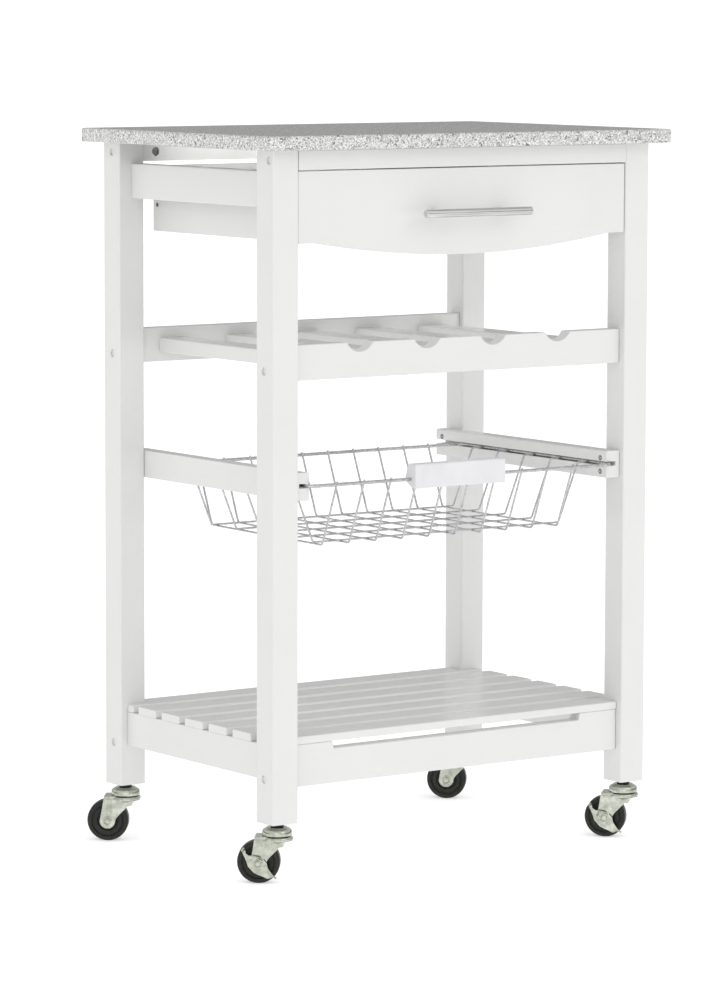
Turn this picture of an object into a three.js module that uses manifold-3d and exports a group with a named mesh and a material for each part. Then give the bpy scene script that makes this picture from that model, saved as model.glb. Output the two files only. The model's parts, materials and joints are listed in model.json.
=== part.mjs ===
// Rolling utility cart: a stone-look worktop on four square legs, a shallow drawer, a rack for
// bottles, a wire basket on grooved runners, a slatted shelf and four swivel casters.
//
// Millimetres, +Z up. X runs across the cart, -Y is the drawer side, and the origin is on the
// floor below the middle of the worktop.

import * as THREE from "three";
import { mergeVertices } from "three/addons/utils/BufferGeometryUtils.js";
import Module from "manifold-3d";

const wasm = await Module();
wasm.setup();

// ---------------------------------------------------------------- driving dimensions

const GAP = 0.3; // clearance between pieces that touch
const PAST = 1; // how far a cutting tool passes beyond the face it cuts

const WORKTOP = { width: 584, depth: 403, thickness: 16.5, top: 860, corner: 6, ease: 2.5 };
const WORKTOP_UNDERSIDE = WORKTOP.top - WORKTOP.thickness;

const LEG = { side: 35, outerX: 272.5, outerY: 180, bottom: 70, ease: 2.5 };
const LEG_X = LEG.outerX - LEG.side / 2;
const LEG_Y = LEG.outerY - LEG.side / 2;
const INNER_X = LEG.outerX - LEG.side; // faces of the legs that look at each other
const INNER_Y = LEG.outerY - LEG.side;
const LEG_TOP = WORKTOP_UNDERSIDE - GAP;

const BOARD = { thickness: 18, ease: 1.5 };
const RAIL_OUTER_Y = 170; // long rails sit 10 mm inside the legs' outer faces
const RAIL_INNER_Y = RAIL_OUTER_Y - BOARD.thickness;
const RAIL_HALF_LENGTH = INNER_X - GAP;

const BOLT = { recess: 5, recessDepth: 3, nut: 5.2, nutDepth: 13, nutFromEnd: 21 };

const TOP_RAIL_BOTTOM = 820.5;
const TOP_BOLT_Z = 832;

const DRAWER = {
  frontTop: 819.3,
  frontShoulder: 737, // lower edge at the two ends
  frontMiddle: 718.5, // lowest point of the bow
  shoulder: 25.2, // straight stretch at each end of the bow
  frontHalf: 236.7,
  recess: 2, // how far the front lies behind the legs' outer faces
  boxTop: 816,
  boxBottom: 737.6,
  ease: 2, // chamfer of the front's upper corners
  outerX: 225,
  wall: 12,
  back: 143.5,
  panel: { thickness: 4, bottom: 744, tongue: 4.5, ease: 0.5 },
};
const SUPPORT = { outerX: 255.5, bottom: 777, top: 818.5 };
const DRAWER_SLIDE = {
  middle: 798,
  height: 35,
  sheet: 1.2,
  front: -161,
  length: 290,
  inset: 3, // the moving channel clears the fixed one by this much all round
};
const HANDLE = { radius: 5, half: 76.3, reach: 26, z: 768, post: 3.5, postX: 48 };

const RACK = {
  bottom: 580,
  top: 621,
  boltZ: 592,
  slatTop: 608.5,
  slatHeight: 17,
  slatWidth: 40,
  slatEase: 1,
};
const BOTTLE = { pitch: 96, count: 4, neckRadius: 21, neckCentre: 10 };

const RUNNER = {
  bottom: 442,
  top: 474.5,
  thickness: 20,
  half: 172.5,
  round: 2,
  groove: { middle: 459, height: 5, depth: 14 },
};
const RUNNER_INNER_X = INNER_X - GAP - RUNNER.thickness;

const BASKET = {
  rim: { halfX: 222, front: -180, back: 122, radius: 2, corner: 12 },
  wire: 1.2,
  floorZ: 386,
  floorFront: -150,
  floorBack: 91,
  bend: 7,
  sideBend: 4,
  middle: -5.5, // the pan hangs a little left of the rim's middle
  floorHalf: 180,
  hangHalf: 209, // where the side walls reach the height of the rim
  lengthwise: { count: 10, pitch: 38.2 }, // wires from the front rim to the back rim
  crosswise: { count: 5, pitch: 53, front: -134 }, // wires from side to side
};
const GRIP = {
  left: -79,
  right: 52,
  front: -190,
  // corners of the section, measured back from the front face and up from the rim's middle
  section: [
    [2, -10.5],
    [8, -10.5],
    [21, -3],
    [22, 0],
    [17, 16],
    [14, 18],
    [3, 18],
    [0, 15],
    [0, -8.5],
  ],
};

const SHELF = {
  slatTop: 168.7,
  slatHeight: 9,
  slatWidth: 38,
  slatCount: 7,
  halfDepth: 171,
  outerX: 263,
  sideBottom: 118.7,
  railBottom: 110,
  relief: 8.5,
  reliefHalf: 180,
  reliefSlope: 2,
  boltZ: 121.5,
};
const SHELF_SLAT_BOTTOM = SHELF.slatTop - SHELF.slatHeight;

// Heights are above the floor; radii are about the swivel axis, the axle or the wheel's centre.
const CASTER = {
  trail: 21,
  bore: 3.1,
  stem: { radius: 5, length: 36, chamfer: 1, socketSpare: 2 },
  collar: { radius: 7, bottom: 65.5 },
  // the cap's dome, as shares of its radius and drops below the collar
  cap: { radius: 17.5, bottom: 55.8, shoulder: [0.62, 0.6], crest: [0.94, 3.2], side: 5.4 },
  kingpin: { radius: 4, hole: 4.1, head: 2, headHeight: 2, headChamfer: 1 },
};
const FORK = {
  crown: 18.5,
  top: 55.4,
  bottom: 51.4,
  plateInner: 11.2,
  plate: 1.8,
  ear: 9.3, // round end of each side plate, about the axle
  earStart: Math.PI + 0.62, // where the leading edge meets that round end
  reach: 5, // how far the plates pass the swivel axis and the axle
  lead: { inset: 1.5, drop: 8 }, // the short steep stretch below the crown
  overlap: 1,
  corner: 3,
};
const WHEEL = {
  radius: 25,
  half: 9.5,
  segments: 24,
  hub: 7,
  hubStep: 1,
  dish: 2,
  dishInner: 8,
  dishOuter: 8,
  rimInner: 7,
  shoulder: [2, 2.5],
};
const AXLE = { radius: 3, head: 2, headSide: 0.8, headHeight: 1.8 };
const BRAKE = {
  plate: 1.6,
  tilt: 46,
  half: 24,
  width: 6.5,
  belly: 2, // how much the lower edge widens next to the round middle
  round: { low: 12, high: 10.5, lowCut: 0.8, highCut: 0.7 },
  neck: 9,
  tab: 6,
  tabEase: 0.4,
};

// ---------------------------------------------------------------- materials

const paint = (color, roughness, metalness) =>
  new THREE.MeshStandardMaterial({ color, roughness, metalness });

const lacquer = () => paint(0xf1f0ee, 0.35, 0);
const granite = () => paint(0xb6b6b4, 0.3, 0);
const brushedSteel = () => paint(0xc4c4c2, 0.32, 1);
const zincPlate = () => paint(0xbfc0b4, 0.3, 1);
const brightWire = () => paint(0xc9c9cb, 0.22, 1);
const blackWheel = () => paint(0x232321, 0.5, 0);
const whitePlastic = () => paint(0xf2f2f4, 0.4, 0);

// ---------------------------------------------------------------- solids

// A closed three.js geometry as a manifold-3d solid.
function solidOf(geometry) {
  const bare = geometry.clone();
  bare.deleteAttribute("normal");
  bare.deleteAttribute("uv");
  const merged = mergeVertices(bare, 1e-4);
  const mesh = new wasm.Mesh({
    numProp: 3,
    vertProperties: merged.attributes.position.array,
    triVerts: new Uint32Array(merged.index.array),
  });
  return new wasm.Manifold(mesh);
}

// A manifold-3d solid as a three.js geometry with flat faces.
function geometryOf(solid) {
  const mesh = solid.getMesh();
  const geometry = new THREE.BufferGeometry();
  geometry.setAttribute("position", new THREE.BufferAttribute(mesh.vertProperties, 3));
  geometry.setIndex(new THREE.BufferAttribute(mesh.triVerts, 1));
  const flat = geometry.toNonIndexed();
  flat.computeVertexNormals();
  return flat;
}

function cut(geometry, tools) {
  let solid = solidOf(geometry);
  for (const tool of tools) {
    solid = solid.subtract(solidOf(tool));
  }
  return geometryOf(solid);
}

function join(geometries) {
  let solid = solidOf(geometries[0]);
  for (const geometry of geometries.slice(1)) {
    solid = solid.add(solidOf(geometry));
  }
  return geometryOf(solid);
}

// ---------------------------------------------------------------- shapes and prisms

// A rectangle between two corners, with its corners rounded.
function rectangle([u0, u1], [v0, v1], radius) {
  const shape = new THREE.Shape();
  shape.moveTo(u0 + radius, v0);
  shape.lineTo(u1 - radius, v0);
  shape.absarc(u1 - radius, v0 + radius, radius, -Math.PI / 2, 0);
  shape.lineTo(u1, v1 - radius);
  shape.absarc(u1 - radius, v1 - radius, radius, 0, Math.PI / 2);
  shape.lineTo(u0 + radius, v1);
  shape.absarc(u0 + radius, v1 - radius, radius, Math.PI / 2, Math.PI);
  shape.lineTo(u0, v0 + radius);
  shape.absarc(u0 + radius, v0 + radius, radius, Math.PI, 1.5 * Math.PI);
  return shape;
}

function polygon(points) {
  const shape = new THREE.Shape();
  points.forEach(([u, v], i) => (i ? shape.lineTo(u, v) : shape.moveTo(u, v)));
  shape.closePath();
  return shape;
}

const CYCLE_TO_X = new THREE.Matrix4().makeBasis(
  new THREE.Vector3(0, 1, 0),
  new THREE.Vector3(0, 0, 1),
  new THREE.Vector3(1, 0, 0),
);

// A shape pushed along an axis. Its outline is in (Y, Z) along x, (X, Z) along y, (X, Y) along z.
function prism(axis, shape, [from, to], curveSegments = 1) {
  const options = { depth: to - from, bevelEnabled: false, curveSegments };
  const geometry = new THREE.ExtrudeGeometry(shape, options);
  if (axis === "x") {
    return geometry.applyMatrix4(CYCLE_TO_X).translate(from, 0, 0);
  }
  if (axis === "y") {
    return geometry.rotateX(Math.PI / 2).translate(0, to, 0);
  }
  return geometry.translate(0, 0, from);
}

// A plain board with its long edges eased.
function board(axis, x, y, z, ease = BOARD.ease) {
  if (axis === "x") {
    return prism("x", rectangle(y, z, ease), x);
  }
  if (axis === "y") {
    return prism("y", rectangle(x, z, ease), y);
  }
  return prism("z", rectangle(x, y, ease), z);
}

// A cylinder along an axis between two stations; the other two numbers place its centre line.
function rod(axis, radius, [from, to], a, b, segments = 16) {
  const geometry = new THREE.CylinderGeometry(radius, radius, to - from, segments);
  const middle = (from + to) / 2;
  if (axis === "x") {
    return geometry.rotateZ(Math.PI / 2).translate(middle, a, b);
  }
  if (axis === "y") {
    return geometry.translate(a, middle, b);
  }
  return geometry.rotateX(Math.PI / 2).translate(a, b, middle);
}

// A profile of (radius, height) points turned about +Z.
function turned(profile, segments) {
  const points = profile.map(([r, z]) => new THREE.Vector2(r, z));
  return new THREE.LatheGeometry(points, segments).rotateX(Math.PI / 2);
}

// A polyline as a curve whose stations are its own points, so bends cost no extra rings.
class StationPath extends THREE.Curve {
  constructor(points) {
    super();
    this.points = points;
  }
  getPoint(t, target = new THREE.Vector3()) {
    const last = this.points.length - 1;
    const i = Math.min(Math.floor(t * last), last - 1);
    return target.lerpVectors(this.points[i], this.points[i + 1], t * last - i);
  }
  getPointAt(t, target) {
    return this.getPoint(t, target);
  }
  getTangentAt(t, target) {
    return this.getTangent(t, target);
  }
}

// A round wire through corner points; each inner corner becomes a bend of the given radius.
function wire(corners, radius, bend) {
  const points = [corners[0]];
  for (let i = 1; i < corners.length - 1; i++) {
    const back = corners[i - 1].clone().sub(corners[i]).normalize();
    const ahead = corners[i + 1].clone().sub(corners[i]).normalize();
    const reach = bend * Math.tan((Math.PI - back.angleTo(ahead)) / 2);
    const start = corners[i].clone().addScaledVector(back, reach);
    const end = corners[i].clone().addScaledVector(ahead, reach);
    const curve = new THREE.QuadraticBezierCurve3(start, corners[i], end);
    points.push(...curve.getPoints(2));
  }
  points.push(corners[corners.length - 1]);
  const section = new THREE.Shape();
  section.absarc(0, 0, radius, 0, 2 * Math.PI);
  return new THREE.ExtrudeGeometry(section, {
    steps: points.length - 1,
    curveSegments: 3, // six sides
    extrudePath: new StationPath(points),
  });
}

const range = (count) => Array.from({ length: count }, (_, i) => i);

const mirrored = (side, [a, b]) => (side > 0 ? [a, b] : [-b, -a]);

// ---------------------------------------------------------------- the scene graph

const cart = new THREE.Group();

function add(parent, name, geometry, material) {
  const mesh = new THREE.Mesh(geometry, material);
  mesh.name = name;
  parent.add(mesh);
  return mesh;
}

// ---------------------------------------------------------------- worktop

function worktop() {
  const { width, depth, thickness, corner, ease } = WORKTOP;
  const outline = rectangle([-width / 2, width / 2], [-depth / 2, depth / 2], corner);
  return new THREE.ExtrudeGeometry(outline, {
    depth: thickness - 2 * ease,
    bevelEnabled: true,
    bevelThickness: ease,
    bevelSize: ease,
    bevelOffset: -ease,
    bevelSegments: 2,
    curveSegments: 2,
  }).translate(0, 0, WORKTOP_UNDERSIDE + ease);
}

add(cart, "worktop", worktop(), granite());

// ---------------------------------------------------------------- legs

// heading is where each caster's wheel trails at rest, in degrees from +X
const CORNERS = [
  { name: "front_left", x: -1, y: -1, heading: 142 },
  { name: "front_right", x: 1, y: -1, heading: 134 },
  { name: "back_left", x: -1, y: 1, heading: 142 },
  { name: "back_right", x: 1, y: 1, heading: 139 },
];

// The frame bolts pass through the legs sideways into the ends of the long rails.
function boltPlaces(y) {
  const railMiddle = (RAIL_OUTER_Y + RAIL_INNER_Y) / 2;
  const topRailMiddle = y < 0 ? LEG.outerY - BOARD.thickness / 2 : railMiddle;
  return [
    { y: y * topRailMiddle, z: TOP_BOLT_Z },
    { y: y * railMiddle, z: RACK.boltZ },
    { y: y * railMiddle, z: SHELF.boltZ },
  ];
}

function leg(x, y) {
  const xs = mirrored(x, [INNER_X, LEG.outerX]);
  const ys = mirrored(y, [INNER_Y, LEG.outerY]);
  const post = board("z", xs, ys, [LEG.bottom, LEG_TOP], LEG.ease);
  const { radius, length, socketSpare } = CASTER.stem;
  const depth = [LEG.bottom - PAST, LEG.bottom + length + socketSpare];
  const socket = rod("z", radius + GAP, depth, x * LEG_X, y * LEG_Y);
  const recesses = boltPlaces(y).map((place) => {
    const span = mirrored(x, [LEG.outerX - BOLT.recessDepth, LEG.outerX + PAST]);
    return rod("x", BOLT.recess, span, place.y, place.z);
  });
  return cut(post, [socket, ...recesses]);
}

for (const { name, x, y } of CORNERS) {
  add(cart, `leg_${name}`, leg(x, y), lacquer());
}

// ---------------------------------------------------------------- long rails

const RAIL_X = [-RAIL_HALF_LENGTH, RAIL_HALF_LENGTH];
const FRONT_RAIL_Y = [-RAIL_OUTER_Y, -RAIL_INNER_Y];
const BACK_RAIL_Y = [RAIL_INNER_Y, RAIL_OUTER_Y];

// Barrel nuts of the top and shelf rails lie in blind holes in the face that looks into the cart.
function nutHoles([y0, y1], z) {
  const face = y0 < 0 ? [y1 - BOLT.nutDepth, y1 + PAST] : [y0 - PAST, y0 + BOLT.nutDepth];
  const place = RAIL_HALF_LENGTH - BOLT.nutFromEnd;
  return [-place, place].map((x) => rod("y", BOLT.nut, face, x, z));
}

function topRail(y) {
  const rail = board("x", RAIL_X, y, [TOP_RAIL_BOTTOM, LEG_TOP]);
  return cut(rail, nutHoles(y, TOP_BOLT_Z));
}

add(cart, "top_rail_front", topRail([-LEG.outerY, BOARD.thickness - LEG.outerY]), lacquer());
add(cart, "top_rail_back", topRail(BACK_RAIL_Y), lacquer());

// ---------------------------------------------------------------- bottle rack

const bottleX = range(BOTTLE.count).map((i) => (i - (BOTTLE.count - 1) / 2) * BOTTLE.pitch);

const rackRail = (y) => board("x", RAIL_X, y, [RACK.bottom, RACK.top]);

// The front rail's top edge is scooped out for the necks of the bottles.
function scoopedRail([front, back]) {
  const z = RACK.top + BOTTLE.neckCentre;
  const scoops = bottleX.map((x) => {
    return rod("y", BOTTLE.neckRadius, [front - PAST, back + PAST], x, z, 32);
  });
  return cut(rackRail([front, back]), scoops);
}

add(cart, "rack_rail_front", scoopedRail(FRONT_RAIL_Y), lacquer());
add(cart, "rack_rail_back", rackRail(BACK_RAIL_Y), lacquer());

for (const i of range(BOTTLE.count + 1)) {
  const x = (i - BOTTLE.count / 2) * BOTTLE.pitch;
  const xs = [x - RACK.slatWidth / 2, x + RACK.slatWidth / 2];
  const ys = [GAP - RAIL_INNER_Y, RAIL_INNER_Y - GAP];
  const zs = [RACK.slatTop - RACK.slatHeight, RACK.slatTop];
  const slat = board("y", xs, ys, zs, RACK.slatEase);
  add(cart, `rack_slat_${i + 1}`, slat, lacquer());
}

// ---------------------------------------------------------------- shelf

function shelfRail(y) {
  const top = SHELF_SLAT_BOTTOM - GAP;
  const half = RAIL_HALF_LENGTH;
  const low = top - SHELF.relief;
  const lip = SHELF.reliefHalf + SHELF.reliefSlope;
  const outline = polygon([
    [-half, SHELF.railBottom],
    [half, SHELF.railBottom],
    [half, top],
    [lip, top],
    [SHELF.reliefHalf, low],
    [-SHELF.reliefHalf, low],
    [-lip, top],
    [-half, top],
  ]);
  return cut(prism("y", outline, y), nutHoles(y, SHELF.boltZ));
}

add(cart, "shelf_rail_front", shelfRail(FRONT_RAIL_Y), lacquer());
add(cart, "shelf_rail_back", shelfRail(BACK_RAIL_Y), lacquer());

for (const side of [-1, 1]) {
  const xs = mirrored(side, [SHELF.outerX - BOARD.thickness, SHELF.outerX]);
  const ys = [GAP - INNER_Y, INNER_Y - GAP];
  const rail = board("y", xs, ys, [SHELF.sideBottom, SHELF_SLAT_BOTTOM - GAP]);
  add(cart, `shelf_side_${side < 0 ? "left" : "right"}`, rail, lacquer());
}

// An end slat is notched at both corners to pass between the legs.
function endSlatOutline(front, back) {
  const side = front < 0 ? -1 : 1;
  const inner = side < 0 ? back : front;
  const outer = side < 0 ? front : back;
  const shoulder = side * (INNER_Y - GAP);
  return polygon([
    [-SHELF.outerX, inner],
    [SHELF.outerX, inner],
    [SHELF.outerX, shoulder],
    [RAIL_HALF_LENGTH, shoulder],
    [RAIL_HALF_LENGTH, outer],
    [-RAIL_HALF_LENGTH, outer],
    [-RAIL_HALF_LENGTH, shoulder],
    [-SHELF.outerX, shoulder],
  ]);
}

const slatPitch = (2 * SHELF.halfDepth - SHELF.slatWidth) / (SHELF.slatCount - 1);

for (const i of range(SHELF.slatCount)) {
  const front = -SHELF.halfDepth + i * slatPitch;
  const back = front + SHELF.slatWidth;
  const z = [SHELF_SLAT_BOTTOM, SHELF.slatTop];
  const atEnd = i === 0 || i === SHELF.slatCount - 1;
  const slat = atEnd
    ? prism("z", endSlatOutline(front, back), z)
    : board("x", [-SHELF.outerX, SHELF.outerX], [front, back], z);
  add(cart, `shelf_slat_${i + 1}`, slat, lacquer());
}

// ---------------------------------------------------------------- drawer supports and slides

// A sheet-steel channel whose web stands at webX and whose lips point towards lipX.
function channel(webX, lipX, halfHeight) {
  const sheet = DRAWER_SLIDE.sheet * Math.sign(lipX - webX);
  const { middle, front, length } = DRAWER_SLIDE;
  const low = middle - halfHeight;
  const high = middle + halfHeight;
  const outline = polygon([
    [webX, low],
    [lipX, low],
    [lipX, low + DRAWER_SLIDE.sheet],
    [webX + sheet, low + DRAWER_SLIDE.sheet],
    [webX + sheet, high - DRAWER_SLIDE.sheet],
    [lipX, high - DRAWER_SLIDE.sheet],
    [lipX, high],
    [webX, high],
  ]);
  return prism("y", outline, [front, front + length]);
}

const drawer = new THREE.Group();
cart.add(drawer);

for (const side of [-1, 1]) {
  const name = side < 0 ? "left" : "right";
  const xs = mirrored(side, [INNER_X, SUPPORT.outerX]);
  const ys = [GAP - INNER_Y, INNER_Y - GAP];
  const support = board("y", xs, ys, [SUPPORT.bottom, SUPPORT.top]);
  add(cart, `drawer_support_${name}`, support, lacquer());

  const fixedWeb = side * (INNER_X - GAP);
  const fixedLip = side * (DRAWER.outerX + DRAWER_SLIDE.inset);
  const half = DRAWER_SLIDE.height / 2;
  add(cart, `slide_fixed_${name}`, channel(fixedWeb, fixedLip, half), zincPlate());

  const movingWeb = side * (DRAWER.outerX + GAP);
  const movingLip = side * (INNER_X - DRAWER_SLIDE.inset);
  const movingHalf = half - DRAWER_SLIDE.inset;
  add(drawer, `slide_moving_${name}`, channel(movingWeb, movingLip, movingHalf), zincPlate());
}

// ---------------------------------------------------------------- drawer

const FRONT_FACE = DRAWER.recess - LEG.outerY; // outer face of the drawer front
const FRONT_BACK_FACE = BOARD.thickness - LEG.outerY; // its inner face
const BOX_FRONT = FRONT_BACK_FACE + GAP;

// The groove that holds the edge of the bottom panel.
const panelGroove = [
  DRAWER.panel.bottom - GAP,
  DRAWER.panel.bottom + DRAWER.panel.thickness + GAP,
];

function drawerFront() {
  const { frontHalf: half, shoulder, frontTop, frontShoulder, frontMiddle, ease } = DRAWER;
  const chord = half - shoulder;
  const sag = frontShoulder - frontMiddle;
  const radius = (chord * chord + sag * sag) / (2 * sag);
  const sweep = Math.asin(chord / radius);
  const outline = new THREE.Shape();
  outline.moveTo(-half, frontShoulder);
  outline.lineTo(-chord, frontShoulder);
  const centreZ = frontMiddle + radius;
  outline.absarc(0, centreZ, radius, -Math.PI / 2 - sweep, -Math.PI / 2 + sweep);
  outline.lineTo(half, frontShoulder);
  outline.lineTo(half, frontTop - ease);
  outline.lineTo(half - ease, frontTop);
  outline.lineTo(-half + ease, frontTop);
  outline.lineTo(-half, frontTop - ease);
  outline.closePath();
  const slab = prism("y", outline, [FRONT_FACE, FRONT_BACK_FACE], 12);
  const reach = DRAWER.outerX - DRAWER.wall + DRAWER.panel.tongue;
  const depth = [FRONT_BACK_FACE - DRAWER.panel.tongue - GAP, FRONT_BACK_FACE + PAST];
  const groove = rectangle([-reach, reach], panelGroove, DRAWER.panel.ease);
  return cut(slab, [prism("y", groove, depth)]);
}

function drawerSide(side) {
  const inner = DRAWER.outerX - DRAWER.wall;
  const xs = mirrored(side, [inner, DRAWER.outerX]);
  const ys = [BOX_FRONT, DRAWER.back];
  const wall = board("y", xs, ys, [DRAWER.boxBottom, DRAWER.boxTop]);
  const grooveX = mirrored(side, [inner - PAST, inner + DRAWER.panel.tongue + GAP]);
  const groove = rectangle(grooveX, panelGroove, DRAWER.panel.ease);
  return cut(wall, [prism("y", groove, [BOX_FRONT - PAST, DRAWER.back + PAST])]);
}

add(drawer, "drawer_front", drawerFront(), lacquer());
add(drawer, "drawer_side_left", drawerSide(-1), lacquer());
add(drawer, "drawer_side_right", drawerSide(1), lacquer());

const innerHalf = DRAWER.outerX - DRAWER.wall - GAP;
const panelTop = DRAWER.panel.bottom + DRAWER.panel.thickness;

add(
  drawer,
  "drawer_back",
  board(
    "x",
    [-innerHalf, innerHalf],
    [DRAWER.back - DRAWER.wall, DRAWER.back],
    [panelTop + GAP, DRAWER.boxTop],
  ),
  lacquer(),
);

const panelHalf = innerHalf + DRAWER.panel.tongue;
add(
  drawer,
  "drawer_bottom",
  board(
    "x",
    [-panelHalf, panelHalf],
    [FRONT_BACK_FACE - DRAWER.panel.tongue, DRAWER.back],
    [DRAWER.panel.bottom, panelTop],
    DRAWER.panel.ease,
  ),
  lacquer(),
);

function drawerHandle() {
  const barY = FRONT_FACE - HANDLE.reach;
  const bar = rod("x", HANDLE.radius, [-HANDLE.half, HANDLE.half], barY, HANDLE.z, 24);
  const posts = [-HANDLE.postX, HANDLE.postX].map((x) => {
    return rod("y", HANDLE.post, [barY, FRONT_FACE - GAP], x, HANDLE.z);
  });
  return join([bar, ...posts]);
}

add(drawer, "drawer_handle", drawerHandle(), brushedSteel());

// ---------------------------------------------------------------- basket runners

// Section of a runner seen along Y; the basket's rim slides in the groove of its inner face.
function runner(side) {
  const { bottom, top, round, groove, half } = RUNNER;
  const outer = INNER_X - GAP;
  const inner = RUNNER_INNER_X;
  const low = groove.middle - groove.height / 2;
  const high = groove.middle + groove.height / 2;
  const outline = new THREE.Shape();
  outline.moveTo(side * outer, bottom);
  outline.lineTo(side * outer, top);
  outline.lineTo(side * (inner + round), top);
  const [from, to] = side > 0 ? [Math.PI / 2, Math.PI] : [Math.PI / 2, 0];
  outline.absarc(side * (inner + round), top - round, round, from, to, side < 0);
  outline.lineTo(side * inner, high);
  outline.lineTo(side * (inner + groove.depth), high);
  outline.lineTo(side * (inner + groove.depth), low);
  outline.lineTo(side * inner, low);
  outline.lineTo(side * inner, bottom);
  outline.closePath();
  return prism("y", outline, [-half, half], 2);
}

add(cart, "runner_left", runner(-1), lacquer());
add(cart, "runner_right", runner(1), lacquer());

// ---------------------------------------------------------------- basket

const basket = new THREE.Group();
cart.add(basket);

// The rim is a rounded loop of thick wire with an eight-sided section.
function basketRim(extra) {
  const { halfX, front, back, radius, corner } = BASKET.rim;
  const r = radius + extra;
  const outer = rectangle([-halfX - r, halfX + r], [front - r, back + r], corner + r);
  outer.holes.push(rectangle([r - halfX, halfX - r], [front + r, back - r], corner - r));
  const facet = r * (2 - Math.SQRT2);
  return new THREE.ExtrudeGeometry(outer, {
    depth: 2 * (r - facet),
    bevelEnabled: true,
    bevelThickness: facet,
    bevelSize: facet,
    bevelOffset: -facet,
    bevelSegments: 1,
    curveSegments: 2,
  }).translate(0, 0, RUNNER.groove.middle - r + facet);
}

// All the basket's wire as one solid; extra makes every wire that much thicker.
function basketWire(extra = 0) {
  const { rim, floorZ, floorFront, floorBack, bend, middle, lengthwise, crosswise } = BASKET;
  const z = RUNNER.groove.middle;
  const radius = BASKET.wire + extra;
  const point = (x, y, h) => new THREE.Vector3(x, y, h);
  const wires = range(lengthwise.count).map((i) => {
    const x = middle + (i - (lengthwise.count - 1) / 2) * lengthwise.pitch;
    const corners = [
      point(x, rim.front, z),
      point(x, floorFront, floorZ),
      point(x, floorBack, floorZ),
      point(x, rim.back, z),
    ];
    return wire(corners, radius, bend);
  });
  const crossZ = floorZ + 1.5 * BASKET.wire;
  for (const i of range(crosswise.count)) {
    const y = crosswise.front + i * crosswise.pitch;
    const corners = [
      point(-rim.halfX, y, z),
      point(middle - BASKET.hangHalf, y, z),
      point(middle - BASKET.floorHalf, y, crossZ),
      point(middle + BASKET.floorHalf, y, crossZ),
      point(middle + BASKET.hangHalf, y, z),
      point(rim.halfX, y, z),
    ];
    wires.push(wire(corners, radius, BASKET.sideBend));
  }
  return join([basketRim(extra), ...wires]);
}

// Section of the grip: flat in front, sloping at the back, rounded by short chamfers.
function basketGrip() {
  const z = RUNNER.groove.middle;
  const outline = polygon(GRIP.section.map(([back, up]) => [GRIP.front + back, z + up]));
  const body = prism("x", outline, [GRIP.left, GRIP.right]);
  return cut(body, [basketWire(GAP)]);
}

add(basket, "basket_wire", basketWire(), brightWire());
add(basket, "basket_grip", basketGrip(), whitePlastic());

// ---------------------------------------------------------------- casters

// Each caster is built about its swivel axis: +X towards the trailing wheel, +Z up.

function casterHead() {
  const { stem, collar, cap, kingpin } = CASTER;
  const stemTop = LEG.bottom + stem.length;
  const [shoulder, crest] = [cap.shoulder, cap.crest];
  const rivet = FORK.bottom - GAP;
  const rivetSide = kingpin.radius + kingpin.head;
  const rivetEnd = rivet - kingpin.headHeight;
  return turned(
    [
      [0, stemTop],
      [stem.radius - stem.chamfer, stemTop],
      [stem.radius, stemTop - stem.chamfer],
      [stem.radius, LEG.bottom - GAP],
      [collar.radius, LEG.bottom - GAP],
      [collar.radius, collar.bottom],
      [cap.radius * shoulder[0], collar.bottom - shoulder[1]],
      [cap.radius * crest[0], collar.bottom - crest[1]],
      [cap.radius, collar.bottom - cap.side],
      [cap.radius, cap.bottom],
      [kingpin.radius, cap.bottom],
      [kingpin.radius, rivet],
      [rivetSide, rivet],
      [rivetSide, rivetEnd],
      [kingpin.radius - kingpin.headChamfer, rivetEnd - kingpin.headChamfer],
      [0, rivetEnd - kingpin.headChamfer],
    ].reverse(),
    16,
  );
}

// Outline of one side plate of the fork, in (towards the wheel, up).
function forkPlateOutline(top) {
  const { ear, earStart, reach, lead } = FORK;
  const { trail } = CASTER;
  const outline = new THREE.Shape();
  outline.moveTo(trail + reach, top);
  outline.lineTo(-reach, top);
  outline.lineTo(lead.inset - reach, top - lead.drop);
  const startX = trail + ear * Math.cos(earStart);
  outline.lineTo(startX, WHEEL.radius + ear * Math.sin(earStart));
  outline.absarc(trail, WHEEL.radius, ear, earStart, 2 * Math.PI);
  outline.closePath();
  return outline;
}

function casterFork() {
  const { crown, top, bottom, plateInner, plate, reach, overlap, corner } = FORK;
  const { trail, bore, kingpin } = CASTER;
  const z = [bottom, top];
  const disc = rod("z", crown, z, 0, 0, 24);
  const width = plateInner + plate;
  const bridge = prism("z", rectangle([-reach, trail + reach], [-width, width], corner), z);
  const plates = [-1, 1].map((side) => {
    const across = mirrored(side, [plateInner, width]);
    return prism("y", forkPlateOutline(top - overlap), across, 4);
  });
  const pinHole = rod("z", kingpin.hole, [bottom - PAST, top + PAST], 0, 0);
  const axleHole = rod("y", bore, [-width - PAST, width + PAST], trail, WHEEL.radius);
  return cut(join([disc, bridge, ...plates]), [pinHole, axleHole]);
}

// The wheel is turned about its own axle, then laid on its side with a flat on the floor.
function casterWheel() {
  const { half, segments, hub, hubStep, dish, dishInner, dishOuter, rimInner, shoulder } = WHEEL;
  const halfTurn = Math.PI / segments;
  const outer = WHEEL.radius / Math.cos(halfTurn);
  const side = [
    [CASTER.bore, half + hubStep],
    [hub, half + hubStep],
    [dishInner, half - dish],
    [outer - dishOuter, half - dish],
    [outer - rimInner, half],
    [outer - shoulder[0], half],
    [outer, half - shoulder[1]],
  ];
  const other = side.map(([r, h]) => [r, -h]).reverse();
  const geometry = turned([...side, ...other, side[0]].reverse(), segments);
  return geometry.rotateZ(halfTurn).rotateX(Math.PI / 2);
}

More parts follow.
